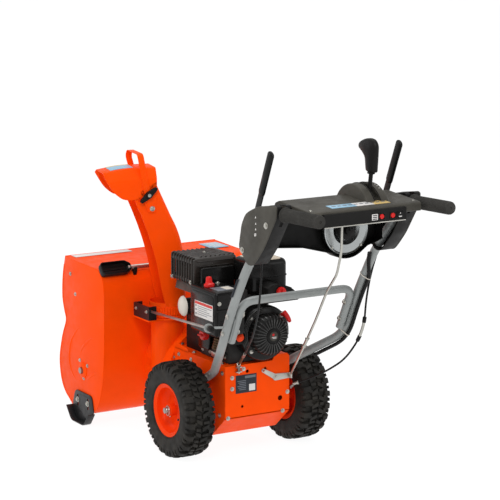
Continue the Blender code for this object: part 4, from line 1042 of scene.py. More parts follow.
CRANKSHAFT = Vector((-0.015, 0, 0.430))


def engine():
    keep("crankshaft", DARK_CAST, 0.0006)
    keep("muffler", HOT_STEEL, 0.0012)
    keep("engine_block", DARK_CAST, 0.0018)
    keep("belt_cover", BLACK_PLASTIC, 0.0012)
    ribs = []
    for i in range(5):
        x = -0.070 + 0.035 * i
        ribs.append(block((x - 0.0025, -0.196, 0.4695), (x + 0.0025, -0.086, 0.4725), 0.001))
    ribs.append(slab(rounded_box(-0.150, 0.385, -0.105, 0.425, 0.008), "X", 0.0895, 0.0915, 0.0006))
    piece("belt_cover_ribs", ribs, BLACK_PLASTIC)
    fins = []
    for i in range(9):
        z = 0.487 + 0.0075 * i
        fins.append(block((-0.064, -0.0735, z), (0.0826, 0.1100, z + 0.0022), 0.0006))
    piece("cylinder_fins", fins, ALLOY)
    sump = bolts([(0.100, y, 0.345) for y in (-0.060, -0.010, 0.040, 0.090)], (1, 0, 0), 0.0048,
                 0.004)
    sump += bolts([(0.100, -0.068, z) for z in (0.375, 0.405, 0.435)], (1, 0, 0), 0.0045, 0.004)
    piece("crankcase_bolts", sump, ZINC)
    band = [block((0.0995, -0.070, 0.352), (0.1035, 0.108, 0.360), 0.0012),
            block((0.0995, 0.0485, 0.376), (0.1045, 0.104, 0.440), 0.004)]
    piece("crankcase_rib", band, DARK_CAST)


def lower_engine_cover():
    """Black moulded cover low on the left of the crankcase, and the primer bulb."""
    side = rounded_outline([(-0.064, 0.352), (0.010, 0.354), (0.014, 0.392), (0.010, 0.440),
                            (-0.060, 0.440)], 0.012)
    piece("lower_cover", slab(side, "X", 0.1064, 0.1165, 0.004, 3), GLOSS_BLACK)
    badge = oval(0.022, 0.012, 40, (-0.0250, 0.410))
    ring = [(0.1170, y, z) for y, z in badge + badge[:1]]
    piece("lower_cover_badge", slab(badge, "X", 0.1160, 0.1172, 0.0003), GREY_PLASTIC)
    piece("lower_cover_badge_rim", pipe(ring, 0.0009, 8), ZINC)
    bellows = [(0.0, 0.0)]
    for i in range(5):
        bellows += [(0.0115, 0.004 + 0.008 * i), (0.0138, 0.008 + 0.008 * i)]
    bellows += [(0.0105, 0.044), (0.0, 0.044)]
    place = Matrix.Translation((0.126, 0.068, 0.368)) @ Matrix.Rotation(math.radians(-16), 4, 'Y')
    piece("governor_boot", lathe(bellows, place, 40), BRONZE)
    levers = [slab(rounded_outline([(0.050, 0.346), (0.086, 0.344), (0.090, 0.362), (0.046, 0.364)],
                                   0.004), "X", 0.1075, 0.130, 0.001),
              pipe(bent([(0.122, 0.088, 0.362), (0.124, 0.096, 0.400), (0.116, 0.086, 0.440)],
                        0.02), 0.0018, 10),
              pipe(bent([(0.110, 0.054, 0.362), (0.112, 0.098, 0.384), (0.110, 0.104, 0.430)],
                        0.02), 0.0016, 10)]
    piece("governor_linkage", levers, ZINC)
    bulb = lathe([(0.0, 0.0), (0.0135, 0.0), (0.0150, 0.003), (0.0125, 0.005), (0.0115, 0.010),
                  (0.0075, 0.0145), (0.0, 0.016)], facing("Y", (0.090, 0.1690, 0.430)), 40)
    mount = slab(rounded_box(0.068, 0.405, 0.112, 0.4445, 0.008), "Y", 0.1140, 0.1690, 0.002)
    piece("primer_mount", mount, BLACK_PLASTIC)
    piece("primer_bulb", bulb, RED_ORANGE)


def shroud():
    low, high = (0.0830, 0.025, 0.445), (0.200, 0.200, 0.598)
    shell = block(low, high, 0.0115, 5)
    shell = carve(shell, block((0.04, 0.0275, 0.4475), (0.1975, 0.1975, 0.5955), 0.008, 3))
    shell = carve(shell, block((0.04, 0.0, 0.4), (0.0838, 0.3, 0.7), 0))
    seams = [slab(rounded_box(0.040, 0.4590, 0.186, 0.5840, 0.014), "X", 0.1990, 0.2016, 0.0012)]
    for i in range(7):
        z = 0.4640 + 0.0058 * i
        seams.append(block((0.104, 0.1990, z), (0.182, 0.2012, z + 0.0026), 0.0008))
    ledge = block((0.0850, 0.1994, 0.532), (0.1960, 0.2035, 0.540), 0.0015)
    piece("shroud_shell", [shell, ledge] + seams, GLOSS_BLACK, replaces=["cylinder_shroud"])


def shroud_labels():
    """Blank stickers on the left face and the top of the shroud."""
    piece("shroud_label", block((0.2014, 0.064, 0.498), (0.2021, 0.184, 0.552), 0.0002),
          LABEL_WHITE)
    piece("shroud_label_head", block((0.2018, 0.066, 0.541), (0.2025, 0.182, 0.550), 0.0),
          LABEL_RED)
    rows = [block((0.2018, 0.084, 0.534 - 0.0068 * i),
                  (0.2024, 0.176 - 0.014 * (i * 5 % 3), 0.5358 - 0.0068 * i), 0) for i in range(5)]
    rows += [block((0.2018, 0.069, 0.5320 - 0.0136 * i), (0.2024, 0.077, 0.5385 - 0.0136 * i),
                   0.0002) for i in range(3)]
    piece("shroud_label_rows", rows, LABEL_GREY)
    piece("shroud_top_label", block((0.104, 0.118, 0.5974), (0.176, 0.176, 0.5984), 0.0003),
          LABEL_GREY)
    piece("shroud_top_blank", block((0.110, 0.126, 0.5980), (0.140, 0.168, 0.5988), 0.0), WHITE)


def spark_plug():
    """The plug's boot on top of the shroud, and its lead."""
    boot = [(0.0, 0.0), (0.0170, 0.0), (0.0185, 0.004), (0.0180, 0.010), (0.0125, 0.014),
            (0.0108, 0.020), (0.0104, 0.028), (0.0085, 0.034), (0.0, 0.036)]
    place = Matrix.Translation((0.166, 0.100, 0.5975)) @ Matrix.Rotation(math.radians(6), 4, 'X')
    piece("spark_plug_cap", lathe(boot, place, 40), RED)
    lead = bent([(0.150, 0.030, 0.585), (0.163, 0.075, 0.604), (0.164, 0.115, 0.604)], 0.02)
    piece("spark_plug_lead", pipe(lead, 0.0035, 12), CABLE)


def shroud_bolts():
    heads = bolts([(0.110, 0.060, 0.598)], (0, 0, 1), 0.0055, 0.004)
    heads += bolts([(0.186, 0.200, 0.560), (0.096, 0.200, 0.520)], (0, 1, 0), 0.0048, 0.004)
    piece("shroud_bolts", heads, ZINC)


def starter():
    """The electric starter low on the left of the engine, its cap a little oval."""
    y, z = -0.106, 0.490
    dome = [(0.0, 0.0), (0.0, 0.0150), (0.010, 0.0142), (0.018, 0.0120), (0.0250, 0.0080),
            (0.0290, 0.0040), (0.0305, 0.0)]
    place = Matrix.Translation((0.1495, y, z + 0.002)) @ Matrix.Scale(1.16, 4, (0, 0, 1))
    piece("starter_cap", lathe(dome, place @ facing("X"), 56), WHITE)
    body = [pin((0.075, y, z), (0.1500, y, z), 0.0290, 48, edge=0.003),
            block((0.080, -0.130, 0.440), (0.120, -0.080, 0.480), 0.004)]
    piece("starter_body", body, BLACK_PLASTIC)
    wire = bent([(0.120, -0.068, 0.510), (0.165, -0.030, 0.515), (0.168, 0.010, 0.480),
                 (0.130, 0.018, 0.440), (0.110, 0.010, 0.440)], 0.03)
    piece("starter_wire", pipe(wire, 0.0026, 12), TAN)


def exhaust_guard():
    top = 0.675
    shell = block((-0.006, -0.163, 0.582), (0.170, -0.005, top), 0.013, 5)
    shell = carve(shell, block((-0.0035, -0.1605, 0.50), (0.1675, -0.0075, 0.6725), 0.010, 3))
    shell = carve(shell, block((-0.1, -0.3, 0.5), (0.3, 0.1, 0.583), 0))
    pitch, wide, slant = 0.0172, 0.0088, 0.018
    cutters = []
    for i in range(7):
        x = 0.030 + slant * i
        cut = rounded_outline([(x + 0.010, -0.146), (x + 0.020, -0.146), (x - 0.012, -0.024),
                               (x - 0.022, -0.024)], 0.003, 3)
        cutters.append(slab(cut, "Z", 0.66, 0.69, 0))
    for start, axis, low, high, count in ((-0.145, "X", 0.155, 0.185, 8),
                                          (0.010, "Y", -0.18, -0.15, 9)):
        for i in range(count):
            at = start + pitch * i
            cutters.append(slab(rounded_box(at, 0.600, at + wide, 0.656, 0.003, 3), axis, low, high,
                                0))
    shell = carve(shell, *cutters)
    ribs = []
    for i in range(8):
        x = 0.030 + slant * i
        near = max(0.006, min(0.158, x + 0.006))
        ribs.append(pipe([(near, -0.152, top), (x - 0.026, -0.016, top)], 0.0034, 8))
    for i in range(5):
        z = 0.596 + 0.0165 * i
        ribs.append(pipe([(0.012, -0.0045, z), (0.152, -0.0045, z)], 0.0020, 8))
    for i in range(9):
        y = -0.1492 + pitch * i
        line = bent([(0.158, y, top), (0.1700, y, top), (0.1705, y, 0.586)], 0.012, 4)
        ribs.append(pipe(line, 0.0026, 8))
    piece("exhaust_guard_shell", [softened(shell, 0.0005, 1, 50)] + ribs, GUARD_BLACK,
          replaces=["muffler_guard"])
    heads = bolts([(0.1705, -0.020, 0.592), (0.1705, -0.148, 0.592)], (1, 0, 0), 0.005, 0.004)
    heads += bolt((0.080, -0.084, 0.6752), (0, 0, 1), 0.005, 0.004)
    piece("exhaust_guard_bolts", heads, ZINC)
    rows = [[(x, -0.150, z), (x, -0.01, z)]
            for x, z in ((0.084, 0.578), (0.150, 0.576), (0.156, 0.550))]
    piece("heat_shield", softened(skin(rows, 0.0016), 0.0004, 1), HOT_STEEL)
    piece("head_cover", block((0.022, 0.0025, 0.560), (0.150, 0.0235, 0.644), 0.006), GLOSS_BLACK)


def recoil():
    place = facing("Y", CRANKSHAFT)
    blower = [(0.0505, 0.1627), (0.087, 0.1627), (0.0925, 0.1575), (0.0925, 0.1167),
              (0.095, 0.1167), (0.0955, 0.140), (0.095, 0.156), (0.0925, 0.162), (0.088, 0.1652),
              (0.050, 0.1652)]
    piece("blower_shell", lathe(blower, place, 80), GLOSS_BLACK, replaces=["blower_housing"])
    cup = [(0.0655, 0.1655), (0.0655, 0.1985), (0.0585, 0.2080), (0.025, 0.2098), (0.0, 0.2098),
           (0.0, 0.2170), (0.018, 0.2166), (0.0245, 0.2140), (0.026, 0.2112), (0.0580, 0.2100),
           (0.0668, 0.1995), (0.068, 0.1960), (0.068, 0.1655)]
    fins = [lathe(cup, place, 80)]
    for i in range(30):
        turn = place @ Matrix.Rotation(2 * math.pi * i / 30, 4, 'Z')
        fins.append(moved(slab([(0.0275, 0.2090), (0.0275, 0.2142), (0.0560, 0.2128),
                                (0.0668, 0.2040), (0.0705, 0.1900), (0.0705, 0.1720),
                                (0.0665, 0.1720), (0.0665, 0.1960), (0.0560, 0.2090)], "Y", -0.0015,
                               0.0015, 0), turn))
    piece("recoil_cage", fins[:1], BLACK_PLASTIC, replaces=["recoil_cover"])
    # The fins get a lighter black than the cage they are moulded with: painted highlight.
    piece("recoil_fins", fins[1:], PAINTED_HIGHLIGHT_BLACK)
    badge = [lathe([(0.0, 0.2164), (0.0, 0.2176), (0.0150, 0.2174), (0.0160, 0.2166)], place, 48)]
    piece("recoil_badge", badge, GREY_PLASTIC)
    dot = lathe([(0.0, 0.2174), (0.0, 0.2180), (0.0042, 0.2180), (0.0046, 0.2174)],
                facing("Y", (CRANKSHAFT.x + 0.002, 0, CRANKSHAFT.z + 0.0055)), 32)
    piece("recoil_badge_dot", dot, RED)
    bars = [block((CRANKSHAFT.x - 0.0095, 0.2172, CRANKSHAFT.z - 0.0040 - 0.0038 * i),
                  (CRANKSHAFT.x + 0.0085 - 0.004 * i, 0.2180, CRANKSHAFT.z - 0.0018 - 0.0038 * i),
                  0.0002) for i in range(2)]
    piece("recoil_badge_bars", bars, LABEL_WHITE)
    centre = (CRANKSHAFT.x, CRANKSHAFT.z)
    heads = bolts([(x, 0.165, z) for x, z in arc(centre, 0.080, 45, 315, 4)], (0, 1, 0), 0.0048,
                  0.004)
    piece("recoil_bolts", heads, ZINC)
    # Curved guard rails on the fan housing, beside the starter.
    rails = []
    for i in range(4):
        line = arc(centre, 0.0745 + 0.0056 * i, -24, 80, 14)
        rails.append(pipe([(x, 0.1672, z) for x, z in line], 0.0018, 8))
    # The rails share the fins' lighter black, a painted highlight.
    piece("blower_rails", rails, PAINTED_HIGHLIGHT_BLACK)
    at = Vector((-0.076, 0.1995, 0.489))
    handle = sweep([at + Vector((0.0115 * t, 0.004 * (1 - t * t), 0.0185 * t))
                    for t in (-1, -0.8, -0.4, 0, 0.4, 0.8, 1)],
                   lambda t: circle(0.0064 + 0.0014 * math.cos(math.pi * (t - 0.5)), 24))
    stem = lathe([(0.0, 0.166), (0.0068, 0.166), (0.0055, 0.175), (0.0055, 0.196), (0.0, 0.200)],
                 facing("Y", (at.x, 0, at.z)), 24)
    piece("recoil_grip", [handle, stem], RED, "recoil_handle", ["recoil_handle"])
    collar = lathe([(0.0, 0.1652), (0.011, 0.1652), (0.0095, 0.1700), (0.0, 0.1700)],
                   facing("Y", (at.x, 0, at.z)), 32)
    piece("rope_guide", collar, ZINC)


FUEL_CAP = Vector((-0.045, 0.070, 0))
OIL_CAP = (0, 0.030, 0.418)
CHOKE = (-0.060, 0, 0.572)


def tank():
    body = block((-0.125, 0.000, 0.5565), (0.020, 0.1295, 0.6725), 0.020, 6)
    body = carve(body, block((-0.121, 0.004, 0.5605), (0.016, 0.1255, 0.6685), 0.016, 3),
                 pin((FUEL_CAP.x, FUEL_CAP.y, 0.66), (FUEL_CAP.x, FUEL_CAP.y, 0.70), 0.0185, 40))
    seam = slab(rounded_box(-0.1262, -0.0012, 0.0212, 0.1307, 0.021, 8), "Z", 0.6120, 0.6170, 0.001)
    seam = carve(seam,
                 slab(rounded_box(-0.1235, 0.0015, 0.0185, 0.128, 0.018, 8), "Z", 0.60, 0.63, 0))
    neck = lathe([(0.0186, 0.6700), (0.0255, 0.6700), (0.0240, 0.6724), (0.0186, 0.6724)],
                 Matrix.Translation(FUEL_CAP), 48)
    piece("fuel_tank_body", [body, seam, neck], GLOSS_BLACK, replaces=["fuel_tank"])
    cap = [lathe([(0.0, 0.6690), (0.0175, 0.6690), (0.0175, 0.6730), (0.0278, 0.6730),
                  (0.0280, 0.6760), (0.0266, 0.6905), (0.0240, 0.6930), (0.012, 0.6940),
                  (0.0, 0.6940)], Matrix.Translation(FUEL_CAP), 56)]
    cap += knurl(Matrix.Translation(FUEL_CAP), 28, (0.0276, 0.6745), (0.0264, 0.6900), 0.0011)
    piece("fuel_cap_body", cap, BEIGE, "fuel_cap", ["fuel_cap"])
    band = slab(rounded_box(-0.106, 0.010, 0.001, 0.122, 0.018, 6), "Z", 0.6700, 0.6732, 0.0008)
    band = carve(band,
                 pin((FUEL_CAP.x, FUEL_CAP.y, 0.66), (FUEL_CAP.x, FUEL_CAP.y, 0.70), 0.0305, 48))
    piece("fuel_tank_band", band, BEIGE)


def oil_and_carb():
    cap = [lathe([(0.0, 0.1210), (0.0080, 0.1210), (0.0080, 0.1372), (0.0178, 0.1372),
                  (0.0180, 0.1400), (0.0172, 0.1545), (0.0150, 0.1570), (0.0, 0.1575)],
                 facing("X", OIL_CAP), 48),
           block((0.155, 0.0165, 0.4152), (0.166, 0.0435, 0.4208), 0.0018)]
    cap += knurl(facing("X", OIL_CAP), 20, (0.0179, 0.1390), (0.0172, 0.1530), 0.0009)
    piece("oil_cap_body", cap, RED, "oil_cap", ["oil_cap"])
    face = rounded_outline([(-0.012, 0.536), (-0.011, 0.590), (-0.028, 0.600), (-0.052, 0.600),
                            (-0.112, 0.576), (-0.135, 0.552), (-0.134, 0.536)], 0.006, 4)
    hood = slab(face, "Y", 0.1303, 0.185, 0.0035, 3)
    hood = carve(hood, slab(grown(face, -0.0028), "Y", 0.12, 0.1822, 0),
                 pin((-0.060, 0.17, 0.572), (-0.060, 0.20, 0.572), 0.0060, 24))
    ribs = []
    down = Vector((-0.060, 0, -0.024)).normalized()
    for i in range(9):
        at = Vector((-0.054, 0, 0.6004)) + down * (0.0066 * i)
        ribs.append(sweep([(at.x, 0.133, at.z), (at.x, 0.184, at.z),
                           (at.x - 0.003, 0.1862, at.z - 0.009)], circle(0.0019, 10)))
    edge = grown(face, -0.0030)
    rim = pipe([(x, 0.1852, z) for x, z in edge + edge[:1]], 0.0013, 8)
    piece("carburettor_hood", [hood, rim] + ribs, BLACK_PLASTIC, replaces=["carburettor_cover"])
    knob = [lathe([(0.0, 0.166), (0.0048, 0.166), (0.0048, 0.1856), (0.0165, 0.1856),
                   (0.0170, 0.1880), (0.0160, 0.1960), (0.0140, 0.1975), (0.0, 0.1980)],
                  facing("Y", CHOKE), 40),
            block((-0.0632, 0.1955, 0.5580), (-0.0568, 0.2058, 0.5860), 0.0018)]
    knob += knurl(facing("Y", CHOKE), 18, (0.0168, 0.1870), (0.0160, 0.1955), 0.0010)
    piece("choke_body", knob, RED, "choke_knob", ["choke_knob"])


# -------------------------------------------------------------------- handles

HANDLE_X, FOOT_X = 0.24, 0.1425
HANDLE_END = (0.888, 0.945)


def upright_line(side):
    x, foot = side * HANDLE_X, side * FOOT_X
    corners = [(foot, 0.045, 0.274), (foot, 0.090, 0.301), (x, 0.303, 0.433), (x, 0.374, 0.579),
               (x, 0.468, 0.733), (x, 0.545, 0.820), (x, 0.640, 0.925), (x, 0.675, 0.9364),
               (x, *HANDLE_END)]
    return bent(corners, 0.055, 8)


def handles():
    for side, label in SIDES:
        shapes = [pipe(upright_line(side), 0.0145, 28)]
        if side > 0:
            ring = lathe([(0.0064, -0.004), (0.0140, -0.004), (0.0150, -0.0030), (0.0150, 0.0030),
                          (0.0140, 0.004), (0.0064, 0.004)],
                         Matrix.Translation(EYE) @ pointing(CRANK), 40)
            shapes += [ring, pin((0.252, EYE.y + 0.010, EYE.z - 0.002),
                                 EYE - Vector((0.0095, 0, 0)), 0.0040, 20)]
        piece("upright_tube_" + label, shapes, GREY_PAINT, replaces=["upright_" + label])
        heads = bolts([(side * (FOOT_X + 0.0125), 0.045 * (1 - t) + 0.090 * t,
                        0.274 * (1 - t) + 0.301 * t) for t in (0.35, 0.85)], (side, 0, 0), 0.0062,
                      0.006)
        piece("upright_bolts_" + label, heads, ZINC)
        wedge = slab([(0.318, 0.457), (0.336, 0.468), (0.352, 0.500), (0.372, 0.545),
                      (0.362, 0.548), (0.338, 0.503)], "X", side * 0.2255 - 0.0015,
                     side * 0.2255 + 0.0015, 0.0005)
        piece("upright_web_" + label, wedge, GREY_PAINT)
        plug = lathe([(0.0, 0.0), (0.0148, 0.0), (0.0148, 0.0012), (0.0, 0.0025)],
                     facing("Y", (side * HANDLE_X, *HANDLE_END)), 32)
        piece("upright_plug_" + label, plug, BLACK_PLASTIC)
    strip = bent([(0.2548, 0.404, 0.628), (0.2548, 0.424, 0.661), (0.2548, 0.444, 0.694)], 0.01)
    piece("upright_strip",
          sweep(strip, [(0.0, -0.0085), (0.0006, -0.0085), (0.0006, 0.0085), (0.0, 0.0085)]),
          LABEL_DARK)
    x = 0.2105
    bar = bent([(x, 0.318, 0.460), (x, 0.392, 0.607), (-x, 0.392, 0.607), (-x, 0.318, 0.460)],
               0.045, 8)
    piece("crossbar_tube", pipe(bar, 0.0135, 28), GREY_PAINT, replaces=["crossbar"])
    heads = []
    for y, z in ((0.336, 0.495), (0.366, 0.556)):
        for side in (1, -1):
            heads += bolt((side * 0.197, y, z), (-side, 0, 0), 0.0060, 0.006)
            heads.append(carriage((side * 0.2543, y, z), (side, 0, 0), 0.009))
    piece("crossbar_bolts", heads, ZINC)


COVER_SIDE = [(0.537, 0.932), (0.585, 0.951), (0.680, 0.967), (0.691, 0.963), (0.689, 0.928),
              (0.615, 0.822), (0.573, 0.777), (0.549, 0.756), (0.518, 0.754), (0.469, 0.798),
              (0.466, 0.810), (0.482, 0.880), (0.506, 0.916)]
LEVER = Vector((0, 0.524, 0.912))


def side_cover(side, label):
    outline = rounded_outline(COVER_SIDE, 0.014, 4)
    tray = slab(grown(outline, -0.0006), "X", 0.214, 0.2655, 0.0008)
    tray = carve(tray, slab(grown(outline, -0.0032), "X", 0.20, 0.2635, 0),
                 pipe(upright_line(1), 0.0160, 24),
                 block((0.2345, 0.480, 0.895), (0.2455, 0.70, 0.99), 0),
                 block((0.2306, 0.578, 0.915), (0.2494, 0.70, 0.99), 0))
    inside = [slab(rounded_box(y, z, y + 0.003, z + 0.05, 0.001, 2), "X", 0.2480, 0.2640, 0.0004)
              for y, z in ((0.500, 0.800), (0.540, 0.850), (0.585, 0.880))]
    inside.append(pin((0.2300, LEVER.y, LEVER.z), (0.2660, LEVER.y, LEVER.z), 0.0040, 20))
    plate = slab(outline, "X", 0.2650, 0.270, 0.0022, 3)
    low, high = 0.2698, 0.2704
    marks = [slab([(y - 0.0035, z - 0.004), (y + 0.0035, z - 0.002), (y, z + 0.004)], "X", low,
                  high, 0) for y, z in ((0.5690, 0.9140), (0.5700, 0.8941), (0.5700, 0.8765))]
    square = [(0.5620, 0.8530), (0.5725, 0.8555), (0.5725, 0.8640), (0.5620, 0.8615)]
    marks.append(carve(slab(square, "X", low, high, 0),
                       block((0.26, 0.5645, 0.8570), (0.28, 0.5700, 0.8600), 0)))
    heads = bolts([(0.270, 0.6310, 0.897), (0.270, 0.4880, 0.797)], (1, 0, 0), 0.0072, 0.005)
    flip = Matrix.Identity(4) if side > 0 else MIRROR
    for kind, shapes, mat, nodes in (("tray", [tray] + inside, BLACK_PLASTIC,
                                      ["side_cover_" + label]),
                                     ("plate", [plate], GREY_PLASTIC, []),
                                     ("marks", marks, LABEL_WHITE, []), ("bolts", heads, ZINC, [])):
        piece("side_cover_%s_%s" % (kind, label), [moved(p, flip) for p in shapes], mat,
              replaces=nodes)


def clutch_lever(side, label):
    length, half, thick = 0.2145, 0.014, 0.004
    outline = [(y, z + length) for y, z in arc((0, 0), half, 0, 180, 21)]
    outline += arc((0, 0), half, 180, 360, 21)
    x = side * HANDLE_X
    blade = slab(outline, "X", x - thick / 2, x + thick / 2, 0.0011)
    blade = carve(blade, pin((-0.3, 0, 0), (0.3, 0, 0), 0.0046, 24))
    # The sleeve on the blade: height above the pivot and share of the full section.
    swell = ((0.074, 0.55), (0.078, 0.90), (0.085, 1.0), (0.150, 1.0), (length + 0.004, 1.0),
             (length + 0.009, 0.86), (length + 0.013, 0.5), (length + 0.014, 0.1))
    section = oval(0.0078, 0.0160, 32)
    sleeve = loft([[(x + u * k, v * k, h) for u, v in section] for h, k in swell])
    place = Matrix.Translation(LEVER) @ Matrix.Rotation(-math.atan2(0.090, 0.209), 4, 'X')
    piece("lever_blade_" + label, [moved(blade, place), moved(sleeve, place)], LEVER_BLACK,
          "clutch_lever_" + label, ["clutch_lever_" + label])


def grip(side, label):
    start = Vector((side * HANDLE_X, 0.695, 0.9372))
    end = Vector((side * HANDLE_X, 0.892, 0.9452))
    span = (end - start).length
    profile = [(0.0147, 0.0), (0.0235, 0.0), (0.0245, 0.002), (0.0235, 0.004)]
    rings = 26
    for i in range(rings):
        h = 0.008 + (span - 0.018) * i / (rings - 1)
        profile += [(0.0196, h - 0.0022), (0.0212, h - 0.0010), (0.0212, h + 0.0010),
                    (0.0196, h + 0.0022)]
    profile += [(0.0205, span - 0.003), (0.0190, span), (0.0048, span + 0.001),
                (0.0042, span - 0.0008), (0.0, span - 0.0008), (0.0, span - 0.0015),
                (0.0147, span - 0.0015)]
    place = Matrix.Translation(start) @ pointing(end - start)
    piece("grip_sleeve_" + label, lathe(profile, place, 40), GRIP, replaces=["grip_" + label])


def covers_levers_and_grips():
    for side, label in SIDES:
        side_cover(side, label)
        clutch_lever(side, label)
        grip(side, label)


LAMP = (-0.070, 0.844)
BUTTONS = {"left": -0.048, "right": -0.089}
SPEED = Vector((-0.075, 0.672, 0.885))
DOME_AT, DOME_R = (0.648, 0.900), 0.105


def console():
    side = rounded_outline([(0.575, 0.925), (0.787, 0.925), (0.787, 0.950), (0.778, 0.9545),
                            (0.600, 0.9655), (0.575, 0.955)], 0.006, 4)
    shell = slab(side, "X", -0.205, 0.205, 0.003, 3)
    quadrant = slab([(y, z) for y, z in arc(DOME_AT, DOME_R, 0, 180, 49)], "X", SPEED.x - 0.040,
                    SPEED.x + 0.040, 0.004, 3, 30)
    shell = carve(shell, quadrant, how='UNION')
    inside = [(0.5775, 0.90), (0.7825, 0.90), (0.7825, 0.949), (0.777, 0.9515), (0.6005, 0.9625),
              (0.5775, 0.9533)]
    shell = carve(shell, slab(inside, "X", -0.2022, 0.2022, 0),
                  slab(arc(DOME_AT, DOME_R - 0.0028, 0, 180, 49), "X", SPEED.x - 0.0375,
                       SPEED.x + 0.0375, 0), block((-0.30, 0.50, 0.70), (0.30, 0.90, 0.9251), 0),
                  block((SPEED.x - 0.010, SPEED.y - 0.036, 0.9568),
                        (SPEED.x + 0.010, SPEED.y + 0.072, 1.02), 0),
                  *(pin((x, 0.770, 0.9225), (x, 0.800, 0.9225), 0.0095, 32)
                    for x in BUTTONS.values()))
    piece("console_shell", shell, GREY_PLASTIC, replaces=["console_cover"])
    lips = [pipe([(x, y, z) for y, z in arc(DOME_AT, DOME_R + 0.0006, 35, 122, 20)], 0.0016, 8)
            for x in (SPEED.x - 0.0115, SPEED.x + 0.0115)]
    piece("quadrant_lips", lips, BLACK_PLASTIC)
    keep("console_fascia", BLACK_PLASTIC, 0.0010)


def switches():
    """Two push buttons and a rocker switch on the fascia, with their frames."""
    for label, x in BUTTONS.items():
        cap = [lathe([(0.0, 0.788), (0.0080, 0.788), (0.0080, 0.7975), (0.0070, 0.7995),
                      (0.0040, 0.7990), (0.0, 0.7986)], facing("Y", (x, 0, 0.9225)), 40)]
        piece("push_button_" + label, cap, RED, "button_" + label, ["button_" + label])
    rocker = slab([(0.7890, 0.9165), (0.7970, 0.9150), (0.8005, 0.9160), (0.7985, 0.9225),
                   (0.8005, 0.9290), (0.7970, 0.9300), (0.7890, 0.9285)], "X", -0.1235, -0.1065,
                  0.0006)
    piece("rocker_body", rocker, GLOSS_BLACK, "rocker_switch", ["rocker_switch"])
    marks = [block((-0.1205, 0.8000, 0.9158), (-0.1095, 0.8007, 0.9190), 0.0002),
             block((-0.1165, 0.8000, 0.9262), (-0.1135, 0.8007, 0.9292), 0.0002)]
    piece("rocker_marks", marks, LABEL_WHITE, "rocker_switch")
    trims = [block((-0.138, 0.7968, 0.9030), (0.163, 0.7982, 0.9062), 0.0005)]
    piece("fascia_trim", trims, ZINC)
    bezels = []
    for x in (*BUTTONS.values(), -0.115):
        bezel = block((x - 0.0115, 0.7966, 0.9115), (x + 0.0115, 0.7984, 0.9335), 0.0006)
        bezels.append(carve(bezel,
                            block((x - 0.0089, 0.79, 0.9141), (x + 0.0089, 0.81, 0.9309), 0)))
    piece("switch_bezels", bezels, GLOSS_BLACK)


def console_prints():
    """Blank blocks where the real console is printed."""
    icon = block((-0.0330, 0.7968, 0.9130), (-0.0110, 0.7978, 0.9320), 0.0003)
    piece("fascia_icon", icon, LABEL_WHITE)
    blocks = [block((-0.0300, 0.7976, 0.9150 + 0.0058 * i), (-0.0140, 0.7981, 0.9180 + 0.0058 * i),
                    0) for i in range(3)]
    piece("fascia_icon_rows", blocks, LABEL_DARK)
    slope = math.atan2(-0.011, 0.178)
    tilt = Matrix.Translation((0, 0.700, 0.9602)) @ Matrix.Rotation(slope, 4, 'X')
    spans = ((0.020, 0.112, LABEL_BLUE, "blue"), (-0.045, 0.020, LABEL_WHITE, "white"),
             (-0.104, -0.045, LABEL_YELLOW, "yellow"))
    for low, high, mat, label in spans:
        strip = block((low, 0.024, -0.0012), (high, 0.062, 0.0004), 0.0001)
        piece("console_strip_" + label, moved(strip, tilt), mat, slot="beige_plastic")
    pads = [block((-0.096 + 0.0205 * i, 0.038, 0.0002), (-0.083 + 0.0205 * i, 0.046, 0.0007), 0)
            for i in range(10)]
    piece("console_strip_marks", [moved(p, tilt) for p in pads], LABEL_GREY)
    dial = [block((-0.1080, y - 0.001, z - 0.0006), (-0.1020, y + 0.001, z + 0.0006), 0.0002)
            for y, z in arc(DOME_AT, DOME_R + 0.0002, 62, 118, 9)]
    piece("speed_scale", dial, LABEL_WHITE)


def console_bolts():
    heads = bolts([(x, y, 0.954) for x in (-0.190, 0.190) for y in (0.620, 0.760)], (0, 0, 1),
                  0.0050, 0.003)
    piece("console_bolts", heads, ZINC)


def speed_lever():
    hub = pin((-0.087, SPEED.y, SPEED.z), (-0.0280, SPEED.y, SPEED.z), 0.0095, 32, edge=0.001)
    arm = slab(rounded_box(0.606, 0.877, 0.678, 0.893, 0.0078), "X", -0.0320, -0.0280, 0.0006)
    piece("speed_hub", [hub, arm], ZINC, "speed_lever")
    top = Vector((SPEED.x, SPEED.y + 0.026, 1.060))
    lean = (top - SPEED).normalized()
    skirt = lathe([(0.0, 0.0), (0.0125, 0.0), (0.0115, 0.008), (0.0085, 0.014), (0.0, 0.014)],
                  Matrix.Translation(SPEED + lean * 0.158) @ pointing(lean), 32)
    # Centre y, z, half length along Y, half width along X and tilt of each ring.
    stations = [(0.6985, 1.0480, 0.0150, 0.0110, 0.10), (0.6980, 1.0500, 0.0235, 0.0155, 0.10),
                (0.6975, 1.0640, 0.0250, 0.0170, 0.10), (0.6965, 1.0900, 0.0285, 0.0180, 0.08),
                (0.6900, 1.1080, 0.0380, 0.0188, -0.05), (0.6810, 1.1240, 0.0480, 0.0190, -0.16),
                (0.6740, 1.1370, 0.0430, 0.0170, -0.24), (0.6690, 1.1440, 0.0290, 0.0120, -0.28),
                (0.6660, 1.1468, 0.0100, 0.0050, -0.30)]
    head = loft([[(SPEED.x + u, y + v, z - slope * v) for u, v in oval(wide, half, 40)]
                 for y, z, half, wide, slope in spline(stations, 4)])
    piece("speed_knob", [pin(SPEED, top, 0.0068, 24), skirt, head], BLACK_PLASTIC, "speed_lever",
          ["speed_lever"])
    collar = lathe([(0.0260, 0.0), (0.0268, 0.002), (0.0260, 0.004)],
                   Matrix.Translation((SPEED.x, 0.6965, 1.088)) @ Matrix.Scale(0.66, 4, (1, 0, 0)),
                   40)
    piece("speed_knob_seam", collar, GLOSS_BLACK, "speed_lever")


SHIFT_PIVOT, SHIFT_ROD_END, SHIFT_STUB = (-0.071, 0.266), (-0.127, 0.266), (-0.021, 0.295)


